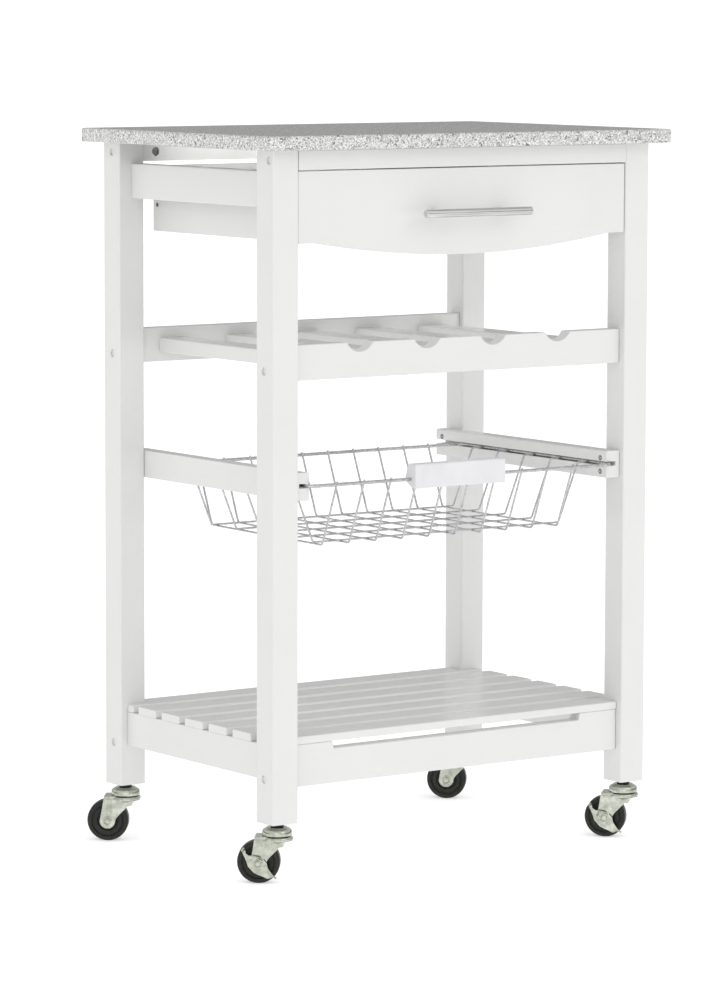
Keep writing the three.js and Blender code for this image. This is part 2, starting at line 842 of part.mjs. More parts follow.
// The axle's two riveted heads stand on the fork, or on the brake lever where there is one.
function casterAxle(braked) {
  const { radius, head, headSide, headHeight } = AXLE;
  const inside = FORK.plateInner + FORK.plate + GAP;
  const outside = braked ? inside + BRAKE.plate + 2 * GAP : inside;
  const end = (face, step) => [
    [radius, face],
    [radius + head, face],
    [radius + head, face + headSide * step],
    [radius, face + headHeight * step],
    [0, face + headHeight * step],
  ];
  const profile = [...end(-inside, -1).reverse(), ...end(outside, 1)];
  return turned(profile, 16).rotateX(-Math.PI / 2);
}

// A rocking plate on the axle with a bent tread at both ends.
function casterBrake() {
  const { plate, tilt, half, width, belly, round, neck, tab, tabEase } = BRAKE;
  const { bore } = CASTER;
  const inner = FORK.plateInner + FORK.plate + 2 * GAP;
  const outline = new THREE.Shape();
  outline.moveTo(-half, -width);
  outline.lineTo(-round.low, -width - belly);
  outline.absarc(0, 0, round.low, Math.PI + round.lowCut, 2 * Math.PI - round.lowCut);
  outline.lineTo(half, -width);
  outline.lineTo(half, width - belly);
  outline.lineTo(neck, width);
  outline.absarc(0, 0, round.high, round.highCut, Math.PI - round.highCut);
  outline.lineTo(-half, width - belly);
  outline.closePath();
  const body = prism("y", outline, [inner, inner + plate], 4);
  const treads = [-1, 1].map((side) => {
    const xs = mirrored(side, [half - plate, half]);
    const section = rectangle(xs, [-width, width - belly], tabEase);
    return prism("y", section, [inner, inner + tab]);
  });
  const hole = rod("y", bore, [inner - PAST, inner + plate + PAST], 0, 0);
  const lever = cut(join([body, ...treads]), [hole]);
  return lever.rotateY(THREE.MathUtils.degToRad(-tilt));
}

for (const { name, x, y, heading } of CORNERS) {
  const caster = new THREE.Group();
  caster.position.set(x * LEG_X, y * LEG_Y, 0);
  caster.rotation.z = THREE.MathUtils.degToRad(heading);
  cart.add(caster);

  const braked = y < 0;
  add(caster, `caster_${name}_head`, casterHead(), zincPlate());
  add(caster, `caster_${name}_fork`, casterFork(), zincPlate());

  const axleGroup = new THREE.Group();
  axleGroup.position.set(CASTER.trail, 0, WHEEL.radius);
  caster.add(axleGroup);
  add(axleGroup, `caster_${name}_wheel`, casterWheel(), blackWheel());
  add(axleGroup, `caster_${name}_axle`, casterAxle(braked), zincPlate());
  if (braked) {
    add(axleGroup, `caster_${name}_brake`, casterBrake(), zincPlate());
  }
}

export default cart;
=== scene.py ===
# Looks of the rolling utility cart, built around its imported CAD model.
#
# The frame is in metres. Shapes here are worked out in millimetres in the same frame: +Z up,
# -Y the drawer side, origin on the floor below the middle of the worktop.

import json
import math

import bmesh
import bpy
from mathutils import Matrix, Vector


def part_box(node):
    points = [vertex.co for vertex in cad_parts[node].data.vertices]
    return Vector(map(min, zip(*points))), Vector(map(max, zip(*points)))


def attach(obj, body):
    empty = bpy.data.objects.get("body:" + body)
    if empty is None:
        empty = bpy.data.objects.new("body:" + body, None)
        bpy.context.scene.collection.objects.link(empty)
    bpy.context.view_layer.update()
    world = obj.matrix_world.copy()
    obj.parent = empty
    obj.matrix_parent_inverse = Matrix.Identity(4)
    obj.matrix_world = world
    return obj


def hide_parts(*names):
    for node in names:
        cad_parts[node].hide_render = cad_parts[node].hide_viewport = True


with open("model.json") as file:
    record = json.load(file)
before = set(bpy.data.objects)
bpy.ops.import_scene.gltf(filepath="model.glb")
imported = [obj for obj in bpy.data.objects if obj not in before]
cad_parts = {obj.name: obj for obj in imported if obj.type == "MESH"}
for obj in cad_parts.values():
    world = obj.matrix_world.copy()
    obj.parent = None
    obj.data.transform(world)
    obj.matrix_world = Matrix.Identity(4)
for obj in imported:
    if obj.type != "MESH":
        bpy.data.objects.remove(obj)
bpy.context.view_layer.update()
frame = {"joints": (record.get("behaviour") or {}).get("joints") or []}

MM = 0.001
SIDES = (-1, 1)
CORNERS = ("front_left", "front_right", "back_left", "back_right")
JOINTS = {joint["name"]: joint for joint in frame["joints"]}


def box(node):
    """Lowest and highest corner of a CAD node, in millimetres."""
    low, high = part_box(node)
    return low / MM, high / MM


# -------- camera

CAMERA_PLACE = (-3.1687, -4.4240, 1.0168)
CAMERA_YAW = 35.431
CAMERA_PITCH = 6.330
CAMERA_ROLL = 0.145
CAMERA_LENS = 163.48
SENSOR = 36.0
CAMERA_REACH = 20000


def make_camera():
    data = bpy.data.cameras.new("camera")
    data.lens = CAMERA_LENS
    data.sensor_width = SENSOR
    data.sensor_fit = "AUTO"
    data.clip_end = CAMERA_REACH
    camera = bpy.data.objects.new("camera", data)
    turn = Matrix.Rotation(math.radians(-CAMERA_YAW), 4, "Z")
    tip = Matrix.Rotation(math.radians(90 - CAMERA_PITCH), 4, "X")
    roll = Matrix.Rotation(math.radians(CAMERA_ROLL), 4, "Z")
    camera.matrix_world = Matrix.Translation(CAMERA_PLACE) @ turn @ tip @ roll
    bpy.context.scene.collection.objects.link(camera)
    bpy.context.scene.camera = camera


# -------- node helpers


class Tree:
    """A node tree, with short calls for the nodes that colours and values are made of."""

    def __init__(self, tree):
        self.tree = tree

    def add(self, kind, inputs=(), **settings):
        """A node; its inputs, by name or number, get a value or are linked to an output."""
        node = self.tree.nodes.new(kind)
        for key, value in settings.items():
            setattr(node, key, value)
        for key, value in dict(inputs).items():
            if isinstance(value, bpy.types.NodeSocket):
                self.link(value, node.inputs[key])
            else:
                node.inputs[key].default_value = value
        return node

    def link(self, start, end):
        self.tree.links.new(start, end)

    def ramp(self, value, *stops, interpolation="LINEAR"):
        """Colours or greys at positions from 0 to 1."""
        node = self.add("ShaderNodeValToRGB", {0: value})
        node.color_ramp.interpolation = interpolation
        elements = node.color_ramp.elements
        while len(elements) < len(stops):
            elements.new(0.5)
        for element, (position, colour) in zip(elements, stops):
            grey = (colour,) * 3 if isinstance(colour, (int, float)) else colour
            element.position = position
            element.color = (*grey, 1)
        return node.outputs[0]

    def mix(self, share, first, second):
        """Blend of two colours, by a number or another output."""
        return self.add("ShaderNodeMix", {0: share, 6: first, 7: second}, data_type="RGBA").outputs[2]

    def math(self, operation, first, second):
        return self.add("ShaderNodeMath", {0: first, 1: second}, operation=operation).outputs[0]

    def spread(self, value, low, high):
        """A 0-1 output rescaled to a low-high range."""
        inputs = {"Value": value, "To Min": low, "To Max": high}
        return self.add("ShaderNodeMapRange", inputs).outputs[0]

    def nearness(self, direction, wall, low, high):
        """A value that goes from low to high as a direction nears a wall's middle."""
        pair = {0: direction, 1: wall["middle"]}
        cosine = self.add("ShaderNodeVectorMath", pair, operation="DOT_PRODUCT").outputs["Value"]
        ends = {"From Min": wall["edge"], "From Max": wall["full"], "To Min": low, "To Max": high}
        return self.add("ShaderNodeMapRange", {"Value": cosine, **ends}).outputs[0]


class Nodes(Tree):
    """A new material, its patterns laid out in the frame's metres."""

    def __init__(self, name):
        self.material = bpy.data.materials.new(name)
        self.material.use_nodes = True
        super().__init__(self.material.node_tree)
        self.tree.nodes.clear()
        self.shader = self.add("ShaderNodeBsdfPrincipled")
        self.link(self.shader.outputs[0], self.add("ShaderNodeOutputMaterial").inputs[0])
        self.place = self.add("ShaderNodeTexCoord").outputs["Object"]

    def set(self, **values):
        """Plain values on the shader's sockets; an underscore stands for a space."""
        for key, value in values.items():
            self.shader.inputs[key.replace("_", " ")].default_value = value

    def stretched(self, x, y, z):
        return self.add("ShaderNodeMapping", {"Vector": self.place, "Scale": (x, y, z)}).outputs[0]

    def noise(self, scale, detail, rough=0.5, place=None):
        inputs = {"Vector": place or self.place, "Scale": scale, "Detail": detail, "Roughness": rough}
        return self.add("ShaderNodeTexNoise", inputs).outputs["Fac"]

    def cells(self, scale, place):
        """A random number per cell of a Voronoi pattern."""
        pattern = self.add("ShaderNodeTexVoronoi", {"Vector": place, "Scale": scale})
        return self.add("ShaderNodeSeparateColor", {0: pattern.outputs["Color"]}).outputs[0]

    def colour(self, output):
        self.link(output, self.shader.inputs["Base Color"])

    def roughness(self, output):
        self.link(output, self.shader.inputs["Roughness"])

    def bump(self, height, depth, strength):
        """Relief of the given depth in metres."""
        inputs = {"Height": height, "Distance": depth, "Strength": strength}
        self.link(self.add("ShaderNodeBump", inputs).outputs[0], self.shader.inputs["Normal"])

    def clouded(self, clouds, tones, shine):
        """Colour between tones and roughness between two values, both following one pattern."""
        self.colour(self.ramp(clouds, *tones))
        self.roughness(self.spread(clouds, *shine))


# -------- materials

ALONG = {"x": (0.06, 1, 1), "y": (1, 0.06, 1), "z": (1, 1, 0.06)}
LACQUER_TINT = (0.765, 0.765, 0.755)
LACQUER_SHADE = (0.74, 0.74, 0.73)


def make_lacquer(grain):
    """White semi-gloss paint over wood, with a trace of grain along one axis."""
    n = Nodes(f"lacquer_{grain}")
    n.set(Metallic=0.0, IOR=1.47)
    fibres = n.noise(320, detail=4, rough=0.6, place=n.stretched(*ALONG[grain]))
    clouds = n.noise(9, detail=3)
    tone = n.ramp(clouds, (0.3, LACQUER_SHADE), (0.7, LACQUER_TINT))
    streaks = n.ramp(fibres, (0.35, LACQUER_SHADE), (0.6, LACQUER_TINT))
    n.colour(n.mix(0.2, tone, streaks))
    n.roughness(n.spread(n.noise(60, detail=3), 0.15, 0.27))
    peel = n.noise(420, detail=1)
    relief = n.math("ADD", n.math("MULTIPLY", fibres, 0.7), n.math("MULTIPLY", peel, 0.5))
    n.bump(relief, 0.00006, 0.6)
    return n.material


CRYSTAL_SCALE = 560
SPECK_SCALE = 1150
CRYSTAL_WARP = 0.0012


def make_granite():
    """Speckled stone: light crystals, grey ones and scattered dark mica."""
    n = Nodes("granite")
    n.set(Metallic=0.0, IOR=1.5)
    warp = {0: n.noise(260, detail=2), "Scale": CRYSTAL_WARP}
    shift = n.add("ShaderNodeVectorMath", warp, operation="SCALE").outputs[0]
    place = n.add("ShaderNodeVectorMath", {0: n.place, 1: shift}, operation="ADD").outputs[0]
    crystals, specks = n.cells(CRYSTAL_SCALE, place), n.cells(SPECK_SCALE, place)
    coarse = n.ramp(
        crystals,
        (0.0, (0.14, 0.14, 0.145)),
        (0.11, (0.34, 0.34, 0.34)),
        (0.28, (0.53, 0.535, 0.52)),
        (0.55, (0.69, 0.695, 0.68)),
        (0.78, (0.84, 0.84, 0.83)),
        interpolation="CONSTANT",
    )
    fine = n.ramp(
        specks,
        (0.0, (0.09, 0.09, 0.095)),
        (0.11, (0.40, 0.40, 0.395)),
        (0.36, (0.64, 0.645, 0.63)),
        (0.70, (0.87, 0.87, 0.86)),
        interpolation="CONSTANT",
    )
    patches = n.ramp(n.noise(150, detail=3, rough=0.6), (0.42, 0.0), (0.58, 1.0))
    n.colour(n.mix(patches, coarse, fine))
    n.roughness(n.spread(crystals, 0.07, 0.17))
    n.bump(specks, 0.00002, 0.3)
    return n.material


def make_brushed_steel():
    """Steel brushed along X, the length of the handle."""
    n = Nodes("brushed_steel")
    n.set(Metallic=1.0)
    brush = n.noise(620, detail=4, rough=0.7, place=n.stretched(0.01, 1, 1))
    n.clouded(brush, ((0.35, (0.40, 0.40, 0.40)), (0.65, (0.86, 0.86, 0.85))), (0.07, 0.16))
    n.bump(brush, 0.00003, 0.5)
    return n.material


CASTER_TONES = ((0.32, (0.36, 0.38, 0.32)), (0.55, (0.52, 0.54, 0.47)), (0.75, (0.70, 0.71, 0.66)))
SLIDE_TONES = ((0.3, (0.60, 0.61, 0.60)), (0.7, (0.70, 0.71, 0.70)))


def make_zinc(name, tones, dent_depth):
    """Zinc plate: bright and slightly cloudy, pressed parts also faintly dented."""
    n = Nodes(name)
    n.set(Metallic=1.0)
    clouds = n.noise(120, detail=4, rough=0.6)
    dents = n.noise(150, detail=1)
    grain = n.noise(1800, detail=2)
    n.clouded(clouds, tones, (0.12, 0.26))
    n.bump(n.math("ADD", dents, n.math("MULTIPLY", grain, 0.08)), dent_depth, 0.6)
    return n.material


def make_dark_steel():
    """Blackened steel of the small screws, nails and barrel nuts."""
    n = Nodes("dark_steel")
    n.set(Metallic=1.0)
    tones = (0.3, (0.10, 0.10, 0.10)), (0.7, (0.22, 0.22, 0.21))
    n.clouded(n.noise(400, detail=3), tones, (0.25, 0.45))
    n.bump(n.noise(1800, detail=2), 0.00003, 0.4)
    return n.material


def make_bright_wire():
    """Plated wire of the basket."""
    n = Nodes("bright_wire")
    n.set(Metallic=1.0)
    tones = (0.3, (0.40, 0.40, 0.41)), (0.7, (0.62, 0.62, 0.63))
    n.clouded(n.noise(240, detail=3), tones, (0.10, 0.24))
    n.bump(n.noise(2200, detail=2), 0.00002, 0.4)
    return n.material


def make_black_plastic():
    """Slightly scuffed plastic of the wheels and the caster collars."""
    n = Nodes("black_plastic")
    n.set(Metallic=0.0, IOR=1.38)
    tones = (0.35, (0.008, 0.008, 0.006)), (0.75, (0.024, 0.024, 0.019))
    n.clouded(n.noise(180, detail=4, rough=0.65), tones, (0.28, 0.5))
    n.bump(n.noise(1400, detail=2), 0.00004, 0.5)
    return n.material


def make_white_plastic():
    """Moulded plastic of the basket's grip and the bolt caps."""
    n = Nodes("white_plastic")
    n.set(Metallic=0.0, IOR=1.49)
    tones = (0.3, (0.72, 0.72, 0.735)), (0.7, (0.77, 0.77, 0.785))
    n.clouded(n.noise(40, detail=3), tones, (0.30, 0.42))
    n.bump(n.noise(1600, detail=2), 0.00003, 0.4)
    return n.material


LACQUER = {grain: make_lacquer(grain) for grain in "xyz"}
GRANITE = make_granite()
BRUSHED_STEEL = make_brushed_steel()
ZINC = make_zinc("zinc", CASTER_TONES, 0.0003)
SLIDE_ZINC = make_zinc("slide_zinc", SLIDE_TONES, 0.00003)
DARK_STEEL = make_dark_steel()
BRIGHT_WIRE = make_bright_wire()
BLACK_PLASTIC = make_black_plastic()
WHITE_PLASTIC = make_white_plastic()


# -------- outlines


def arc(u, v, radius, start, end, steps):
    """Points of an arc about (u, v), from one angle to the other, in degrees."""
    angles = [math.radians(start + (end - start) * i / steps) for i in range(steps + 1)]
    return [(u + radius * math.cos(a), v + radius * math.sin(a)) for a in angles]


def rectangle(u, v):
    """Outline over the ranges u and v."""
    return [(u[0], v[0]), (u[1], v[0]), (u[1], v[1]), (u[0], v[1])]


def rounded_rectangle(u, v, radius, steps):
    """Outline over the ranges u and v, each corner an arc."""
    (u0, u1), (v0, v1) = u, v
    return (
        arc(u1 - radius, v0 + radius, radius, -90, 0, steps)
        + arc(u1 - radius, v1 - radius, radius, 0, 90, steps)
        + arc(u0 + radius, v1 - radius, radius, 90, 180, steps)
        + arc(u0 + radius, v0 + radius, radius, 180, 270, steps)
    )


def soften(points, radius, steps=3):
    """A polygon with every corner rounded by a quadratic bend."""
    result = []
    count = len(points)
    for i in range(count):
        corner = Vector(points[i])
        before = Vector(points[i - 1]) - corner
        after = Vector(points[(i + 1) % count]) - corner
        reach = min(radius, before.length / 2.2, after.length / 2.2)
        start = corner + before.normalized() * reach
        end = corner + after.normalized() * reach
        for k in range(steps + 1):
            t = k / steps
            result.append(tuple(start * (1 - t) ** 2 + corner * 2 * t * (1 - t) + end * t * t))
    return result


# -------- solids as (vertices, faces)


def on_axis(axis, u, v, w):
    """A point with outline coordinates (u, v), w along the axis."""
    if axis == "x":
        return (w, u, v)
    if axis == "y":
        return (u, w, v)
    return (u, v, w)


def prism(axis, outline, low, high):
    """An outline drawn out along an axis, from low to high."""
    count = len(outline)
    vertices = [on_axis(axis, u, v, w) for w in (low, high) for u, v in outline]
    faces = [tuple(range(count)), tuple(range(count, 2 * count))]
    for i in range(count):
        k = (i + 1) % count
        faces.append((i, k, count + k, count + i))
    return vertices, faces


def revolve(profile, segments, sweep=(0, 360)):
    """A (radius, height) profile turned about +Z; a part turn leaves an open sheet."""
    whole = sweep[1] - sweep[0] == 360
    rings = segments if whole else segments + 1
    vertices = []
    for i in range(rings):
        angle = math.radians(sweep[0] + (sweep[1] - sweep[0]) * i / segments)
        vertices += [(r * math.cos(angle), r * math.sin(angle), z) for r, z in profile]
    size = len(profile)
    faces = []
    for i in range(segments):
        a, b = i * size, ((i + 1) % rings) * size
        faces += [(a + k, a + k + 1, b + k + 1, b + k) for k in range(size - 1)]
    return vertices, faces


def tube(points, radius, sides, closed=False):
    """A round wire along points."""
    path = [Vector(p) for p in points]
    count = len(path)
    up = Vector((0, 0, 1))
    vertices = []
    side = None
    for i, point in enumerate(path):
        before = path[i - 1] if closed or i else path[i]
        after = path[(i + 1) % count] if closed or i < count - 1 else path[i]
        ahead = (after - before).normalized()
        if side is None:
            side = ahead.cross(up if abs(ahead.z) < 0.9 else Vector((0, 1, 0))).normalized()
        side = (side - ahead * side.dot(ahead)).normalized()
        other = ahead.cross(side)
        for k in range(sides):
            angle = 2 * math.pi * k / sides
            vertices.append(tuple(point + (side * math.cos(angle) + other * math.sin(angle)) * radius))
    faces = []
    for i in range(count if closed else count - 1):
        a, b = i * sides, ((i + 1) % count) * sides
        faces += [(a + k, a + (k + 1) % sides, b + (k + 1) % sides, b + k) for k in range(sides)]
    if not closed:
        faces.append(tuple(range(sides)))
        faces.append(tuple((count - 1) * sides + k for k in range(sides)))
    return vertices, faces


def grid(rows):
    """Quads between rows of points of equal length."""
    size = len(rows[0])
    vertices = [point for row in rows for point in row]
    faces = []
    for i in range(len(rows) - 1):
        a, b = i * size, (i + 1) * size
        faces += [(a + k, a + k + 1, b + k + 1, b + k) for k in range(size - 1)]
    return vertices, faces


def bend_path(corners, radius, steps):
    """A polyline with its inner corners rounded."""
    points = [Vector(corners[0])]
    for i in range(1, len(corners) - 1):
        corner = Vector(corners[i])
        back = (Vector(corners[i - 1]) - corner).normalized()
        ahead = (Vector(corners[i + 1]) - corner).normalized()
        reach = radius * math.tan((math.pi - back.angle(ahead)) / 2)
        start, end = corner + back * reach, corner + ahead * reach
        for k in range(steps + 1):
            t = k / steps
            points.append(start * (1 - t) ** 2 + corner * 2 * t * (1 - t) + end * t * t)
    points.append(Vector(corners[-1]))
    return points


def moved(solid, matrix):
    """The same solid with a matrix applied to its points."""
    vertices, faces = solid
    return [tuple(matrix @ Vector(v)) for v in vertices], faces


# -------- pieces

WELD_DISTANCE = 1e-6
EASE_ANGLE = 40


def mesh_object(name, solids):
    """One object, in metres, from one or more solids in millimetres."""
    vertices = []
    faces = []
    for more_vertices, more_faces in solids:
        start = len(vertices)
        vertices += [tuple(Vector(v) * MM) for v in more_vertices]
        faces += [tuple(start + i for i in face) for face in more_faces]
    mesh = bpy.data.meshes.new(name)
    mesh.from_pydata(vertices, [], faces)
    work = bmesh.new()
    work.from_mesh(mesh)
    bmesh.ops.remove_doubles(work, verts=work.verts, dist=WELD_DISTANCE)
    bmesh.ops.recalc_face_normals(work, faces=work.faces)
    work.to_mesh(mesh)
    work.free()
    obj = bpy.data.objects.new(name, mesh)
    bpy.context.scene.collection.objects.link(obj)
    return obj


def apply_modifiers(obj):
    """Replaces the object's mesh by the one its modifiers make."""
    graph = bpy.context.evaluated_depsgraph_get()
    mesh = bpy.data.meshes.new_from_object(obj.evaluated_get(graph), depsgraph=graph)
    old = obj.data
    obj.modifiers.clear()
    obj.data = mesh
    bpy.data.meshes.remove(old)


def piece(
    name, solids, material, body, nodes=(), ease=0.0, ease_steps=3, holes=(), sheet=0.0, crease=35
):
    """One finished object, riding on a body and standing for CAD nodes.

    ease rounds sharp edges, holes are cut out, sheet thickens a surface, and edges that turn by
    more than crease degrees stay sharp in the shading.
    """
    obj = mesh_object(name, solids)
    if sheet:
        skin = obj.modifiers.new("sheet", "SOLIDIFY")
        skin.thickness = sheet * MM
        skin.offset = 0
    if ease:
        bevel = obj.modifiers.new("ease", "BEVEL")
        bevel.width = ease * MM
        bevel.segments = ease_steps
        bevel.limit_method = "ANGLE"
        bevel.angle_limit = math.radians(EASE_ANGLE)
        bevel.use_clamp_overlap = True
    if holes:
        tool = mesh_object(name + "_tool", holes)
        cut = obj.modifiers.new("holes", "BOOLEAN")
        cut.operation = "DIFFERENCE"
        cut.solver = "EXACT"
        cut.object = tool
    apply_modifiers(obj)
    if holes:
        bpy.data.objects.remove(tool)
    obj.data.polygons.foreach_set("use_smooth", [True] * len(obj.data.polygons))
    obj.data.set_sharp_from_angle(angle=math.radians(crease))
    weigh = obj.modifiers.new("normals", "WEIGHTED_NORMAL")
    weigh.keep_sharp = True
    weigh.weight = 100
    apply_modifiers(obj)
    obj.data.materials.clear()
    obj.data.materials.append(material)
    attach(obj, body)
    if nodes:
        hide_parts(*nodes)


# -------- worktop

TOP_CORNER = 6.0
TOP_EASE = 2.6


def make_worktop():
    low, high = box("worktop")
    outline = rounded_rectangle((low.x, high.x), (low.y, high.y), TOP_CORNER, 8)
    slab = prism("z", outline, low.z, high.z)
    piece("stone_worktop", [slab], GRANITE, "frame", ["worktop"], ease=TOP_EASE, ease_steps=5)


# -------- boards

BOARD_EASE = 1.5
END_EASE = 0.2


def board(name, node, axis, body="frame", ease=BOARD_EASE, holes=(), seat=0.0):
    """A straight board along an axis, with its long edges rounded; seat lowers its underside."""
    low, high = box(node)
    low.z -= seat
    u, v, w = {"x": (1, 2, 0), "y": (0, 2, 1), "z": (0, 1, 2)}[axis]
    outline = rounded_rectangle((low[u], high[u]), (low[v], high[v]), ease, 4)
    solid = prism(axis, outline, low[w], high[w])
    piece(name, [solid], LACQUER[axis], body, [node], ease=END_EASE, ease_steps=2, holes=holes)


def round_hole(axis, u, v, radius, low, high, steps=32):
    """A round bar along an axis, mostly used as the tool that cuts a hole."""
    outline = arc(u, v, radius, 0, 360, steps)[:-1]
    return prism(axis, outline, low, high)


# -------- legs and their bolt caps

LEG_EASE = 2.2
RECESS = {"radius": 4.9, "depth": 3.0}
BOLT_HEIGHTS = (832.0, 592.0, 121.5)
BOLT_Y = 161.0
TOP_FRONT_BOLT_Y = 171.0
CAP_PROFILE = ((0, 0.9), (4.35, 0.9), (4.85, 0.7), (4.85, 0.1), (0, 0.1))


def bolt_places(corner):
    """(y, z) of the frame bolts that pass through one leg."""
    side = -1 if corner.startswith("front") else 1
    upper = TOP_FRONT_BOLT_Y if side < 0 else BOLT_Y
    return [(side * y, z) for y, z in zip((upper, BOLT_Y, BOLT_Y), BOLT_HEIGHTS)]


def make_leg(corner):
    """A post with blind holes in its outer face, each closed by a cap over its bolt."""
    node = "leg_" + corner
    low, high = box(node)
    outward = -1 if corner.endswith("left") else 1
    face = low.x if outward < 0 else high.x
    floor = face - outward * RECESS["depth"]
    span = sorted((floor, face + outward))
    places = bolt_places(corner)
    holes = [round_hole("x", y, z, RECESS["radius"], *span) for y, z in places]
    outline = rounded_rectangle((low.x, high.x), (low.y, high.y), LEG_EASE, 6)
    post = [prism("z", outline, low.z, high.z)]
    rounding = {"ease": END_EASE, "ease_steps": 2}
    piece("post_" + corner, post, LACQUER["z"], "frame", [node], holes=holes, **rounding)
    for index, (y, z) in enumerate(places):
        stand = Matrix.Translation((floor, y, z)) @ Matrix.Rotation(outward * math.pi / 2, 4, "Y")
        cap = moved(revolve(CAP_PROFILE, 32), stand)
        piece(f"bolt_cap_{corner}_{index + 1}", [cap], WHITE_PLASTIC, "frame")


# -------- long rails

NUT = {"radius": 4.9, "hole": 5.2, "depth": 13.0, "from_end": 21.0, "sunk": 2.5, "end": 12.8, "ease": 0.4}
NUT_SLOT = {"reach": 5.5, "half": 0.7, "depth": 1.2}


def nut_places(low, high):
    return low.x + NUT["from_end"], high.x - NUT["from_end"]


def nut_holes(low, high, height, inner_side):
    """Blind holes for barrel nuts, in the rail's face towards the inside of the cart."""
    face = high.y if inner_side > 0 else low.y
    span = sorted((face + inner_side, face - inner_side * NUT["depth"]))
    return [round_hole("y", x, height, NUT["hole"], *span) for x in nut_places(low, high)]


def make_barrel_nuts(name, low, high, height, inner_side):
    """Steel barrels sunk in those holes, each with a screwdriver slot across its end."""
    face = high.y if inner_side > 0 else low.y
    end = face - inner_side * NUT["sunk"]
    length = sorted((end, face - inner_side * NUT["end"]))
    cut = sorted((end + inner_side, end - inner_side * NUT_SLOT["depth"]))
    reach, half = NUT_SLOT["reach"], NUT_SLOT["half"]
    for side, x in zip(("left", "right"), nut_places(low, high)):
        barrel = [round_hole("y", x, height, NUT["radius"], *length, steps=28)]
        slot = [prism("y", rectangle((x - reach, x + reach), (height - half, height + half)), *cut)]
        piece(f"barrel_nut_{name}_{side}", barrel, DARK_STEEL, "frame", ease=NUT["ease"], holes=slot)


def make_top_rails():
    for name, inner_side in (("top_rail_front", 1), ("top_rail_back", -1)):
        low, high = box(name)
        holes = nut_holes(low, high, BOLT_HEIGHTS[0], inner_side)
        board(name + "_board", name, "x", holes=holes)
        make_barrel_nuts(name, low, high, BOLT_HEIGHTS[0], inner_side)


# -------- bottle rack

NECK = {"radius": 21.0, "above": 10.0, "pitch": 96.0, "count": 4}
RACK_RAIL_EASE = 1.2
RACK_SLAT_EASE = 1.8


def scooped_outline(low, high):
    """The front rail's face, with round scoops along its top edge for bottle necks."""
    top = high.z
    half = math.degrees(math.asin(NECK["above"] / NECK["radius"]))
    outline = [(low.x, low.z), (high.x, low.z), (high.x, top)]
    for i in reversed(range(NECK["count"])):
        x = (i - (NECK["count"] - 1) / 2) * NECK["pitch"]
        outline += arc(x, top + NECK["above"], NECK["radius"], -half, -180 + half, 20)
    return outline + [(low.x, top)]


def make_rack():
    node = "rack_rail_front"
    low, high = box(node)
    rail = prism("y", scooped_outline(low, high), low.y, high.y)
    piece(node + "_board", [rail], LACQUER["x"], "frame", [node], ease=RACK_RAIL_EASE)
    board("rack_rail_back_board", "rack_rail_back", "x")
    for i in range(NECK["count"] + 1):
        board(f"rack_slat_board_{i + 1}", f"rack_slat_{i + 1}", "y", ease=RACK_SLAT_EASE)


# -------- shelf

RELIEF = {"depth": 8.5, "half": 180.0, "slope": 2.0}
SHELF_RAIL_EASE = 1.4
SHELF_SIDE_EASE = 0.7
SHELF_SLATS = 7
SLAT_EASE = 1.4
SLAT_SEAT = 0.3
NOTCH_Y = 144.7


def relieved_outline(low, high):
    """The rail's face: its top edge is lowered along the middle."""
    half, drop = RELIEF["half"], high.z - RELIEF["depth"]
    lip = half + RELIEF["slope"]
    right = [(high.x, low.z), (high.x, high.z), (lip, high.z), (half, drop)]
    return right + [(-half, drop), (-lip, high.z), (low.x, high.z), (low.x, low.z)]


def make_notched_slat(node, side):
    """The first or last slat, whose outer corners are cut out round the legs."""
    low, high = box(node)
    outer, inner = (low.y, high.y) if side < 0 else (high.y, low.y)
    leg_x, leg_y = box("shelf_rail_front")[1].x, side * NOTCH_Y
    right = [(high.x, inner), (high.x, leg_y), (leg_x, leg_y), (leg_x, outer)]
    outline = right + [(-leg_x, outer), (-leg_x, leg_y), (low.x, leg_y), (low.x, inner)]
    slat = prism("z", outline, low.z - SLAT_SEAT, high.z)
    piece(node + "_board", [slat], LACQUER["x"], "frame", [node], ease=SLAT_EASE)


def make_shelf():
    for name, inner_side in (("shelf_rail_front", 1), ("shelf_rail_back", -1)):
        low, high = box(name)
        rail = [prism("y", relieved_outline(low, high), low.y, high.y)]
        holes = nut_holes(low, high, BOLT_HEIGHTS[2], inner_side)
        piece(name + "_board", rail, LACQUER["x"], "frame", [name], ease=SHELF_RAIL_EASE, holes=holes)
        make_barrel_nuts(name, low, high, BOLT_HEIGHTS[2], inner_side)
    for side in ("left", "right"):
        board(f"shelf_side_{side}_board", f"shelf_side_{side}", "y", ease=SHELF_SIDE_EASE)
    for i in range(SHELF_SLATS):
        node = f"shelf_slat_{i + 1}"
        if 0 < i < SHELF_SLATS - 1:
            board(node + "_board", node, "x", ease=SLAT_EASE, seat=SLAT_SEAT)
        else:
            make_notched_slat(node, -1 if i == 0 else 1)


# -------- small screws

SCREW_PROFILE = ((0, 0.25), (2.56, 0.22), (3.2, 0.05), (1.76, -1.8), (0, -1.8))
SCREW_CROSS = {"recess": 1.1, "arm": 2.1, "slot": 0.5, "turn": 35}


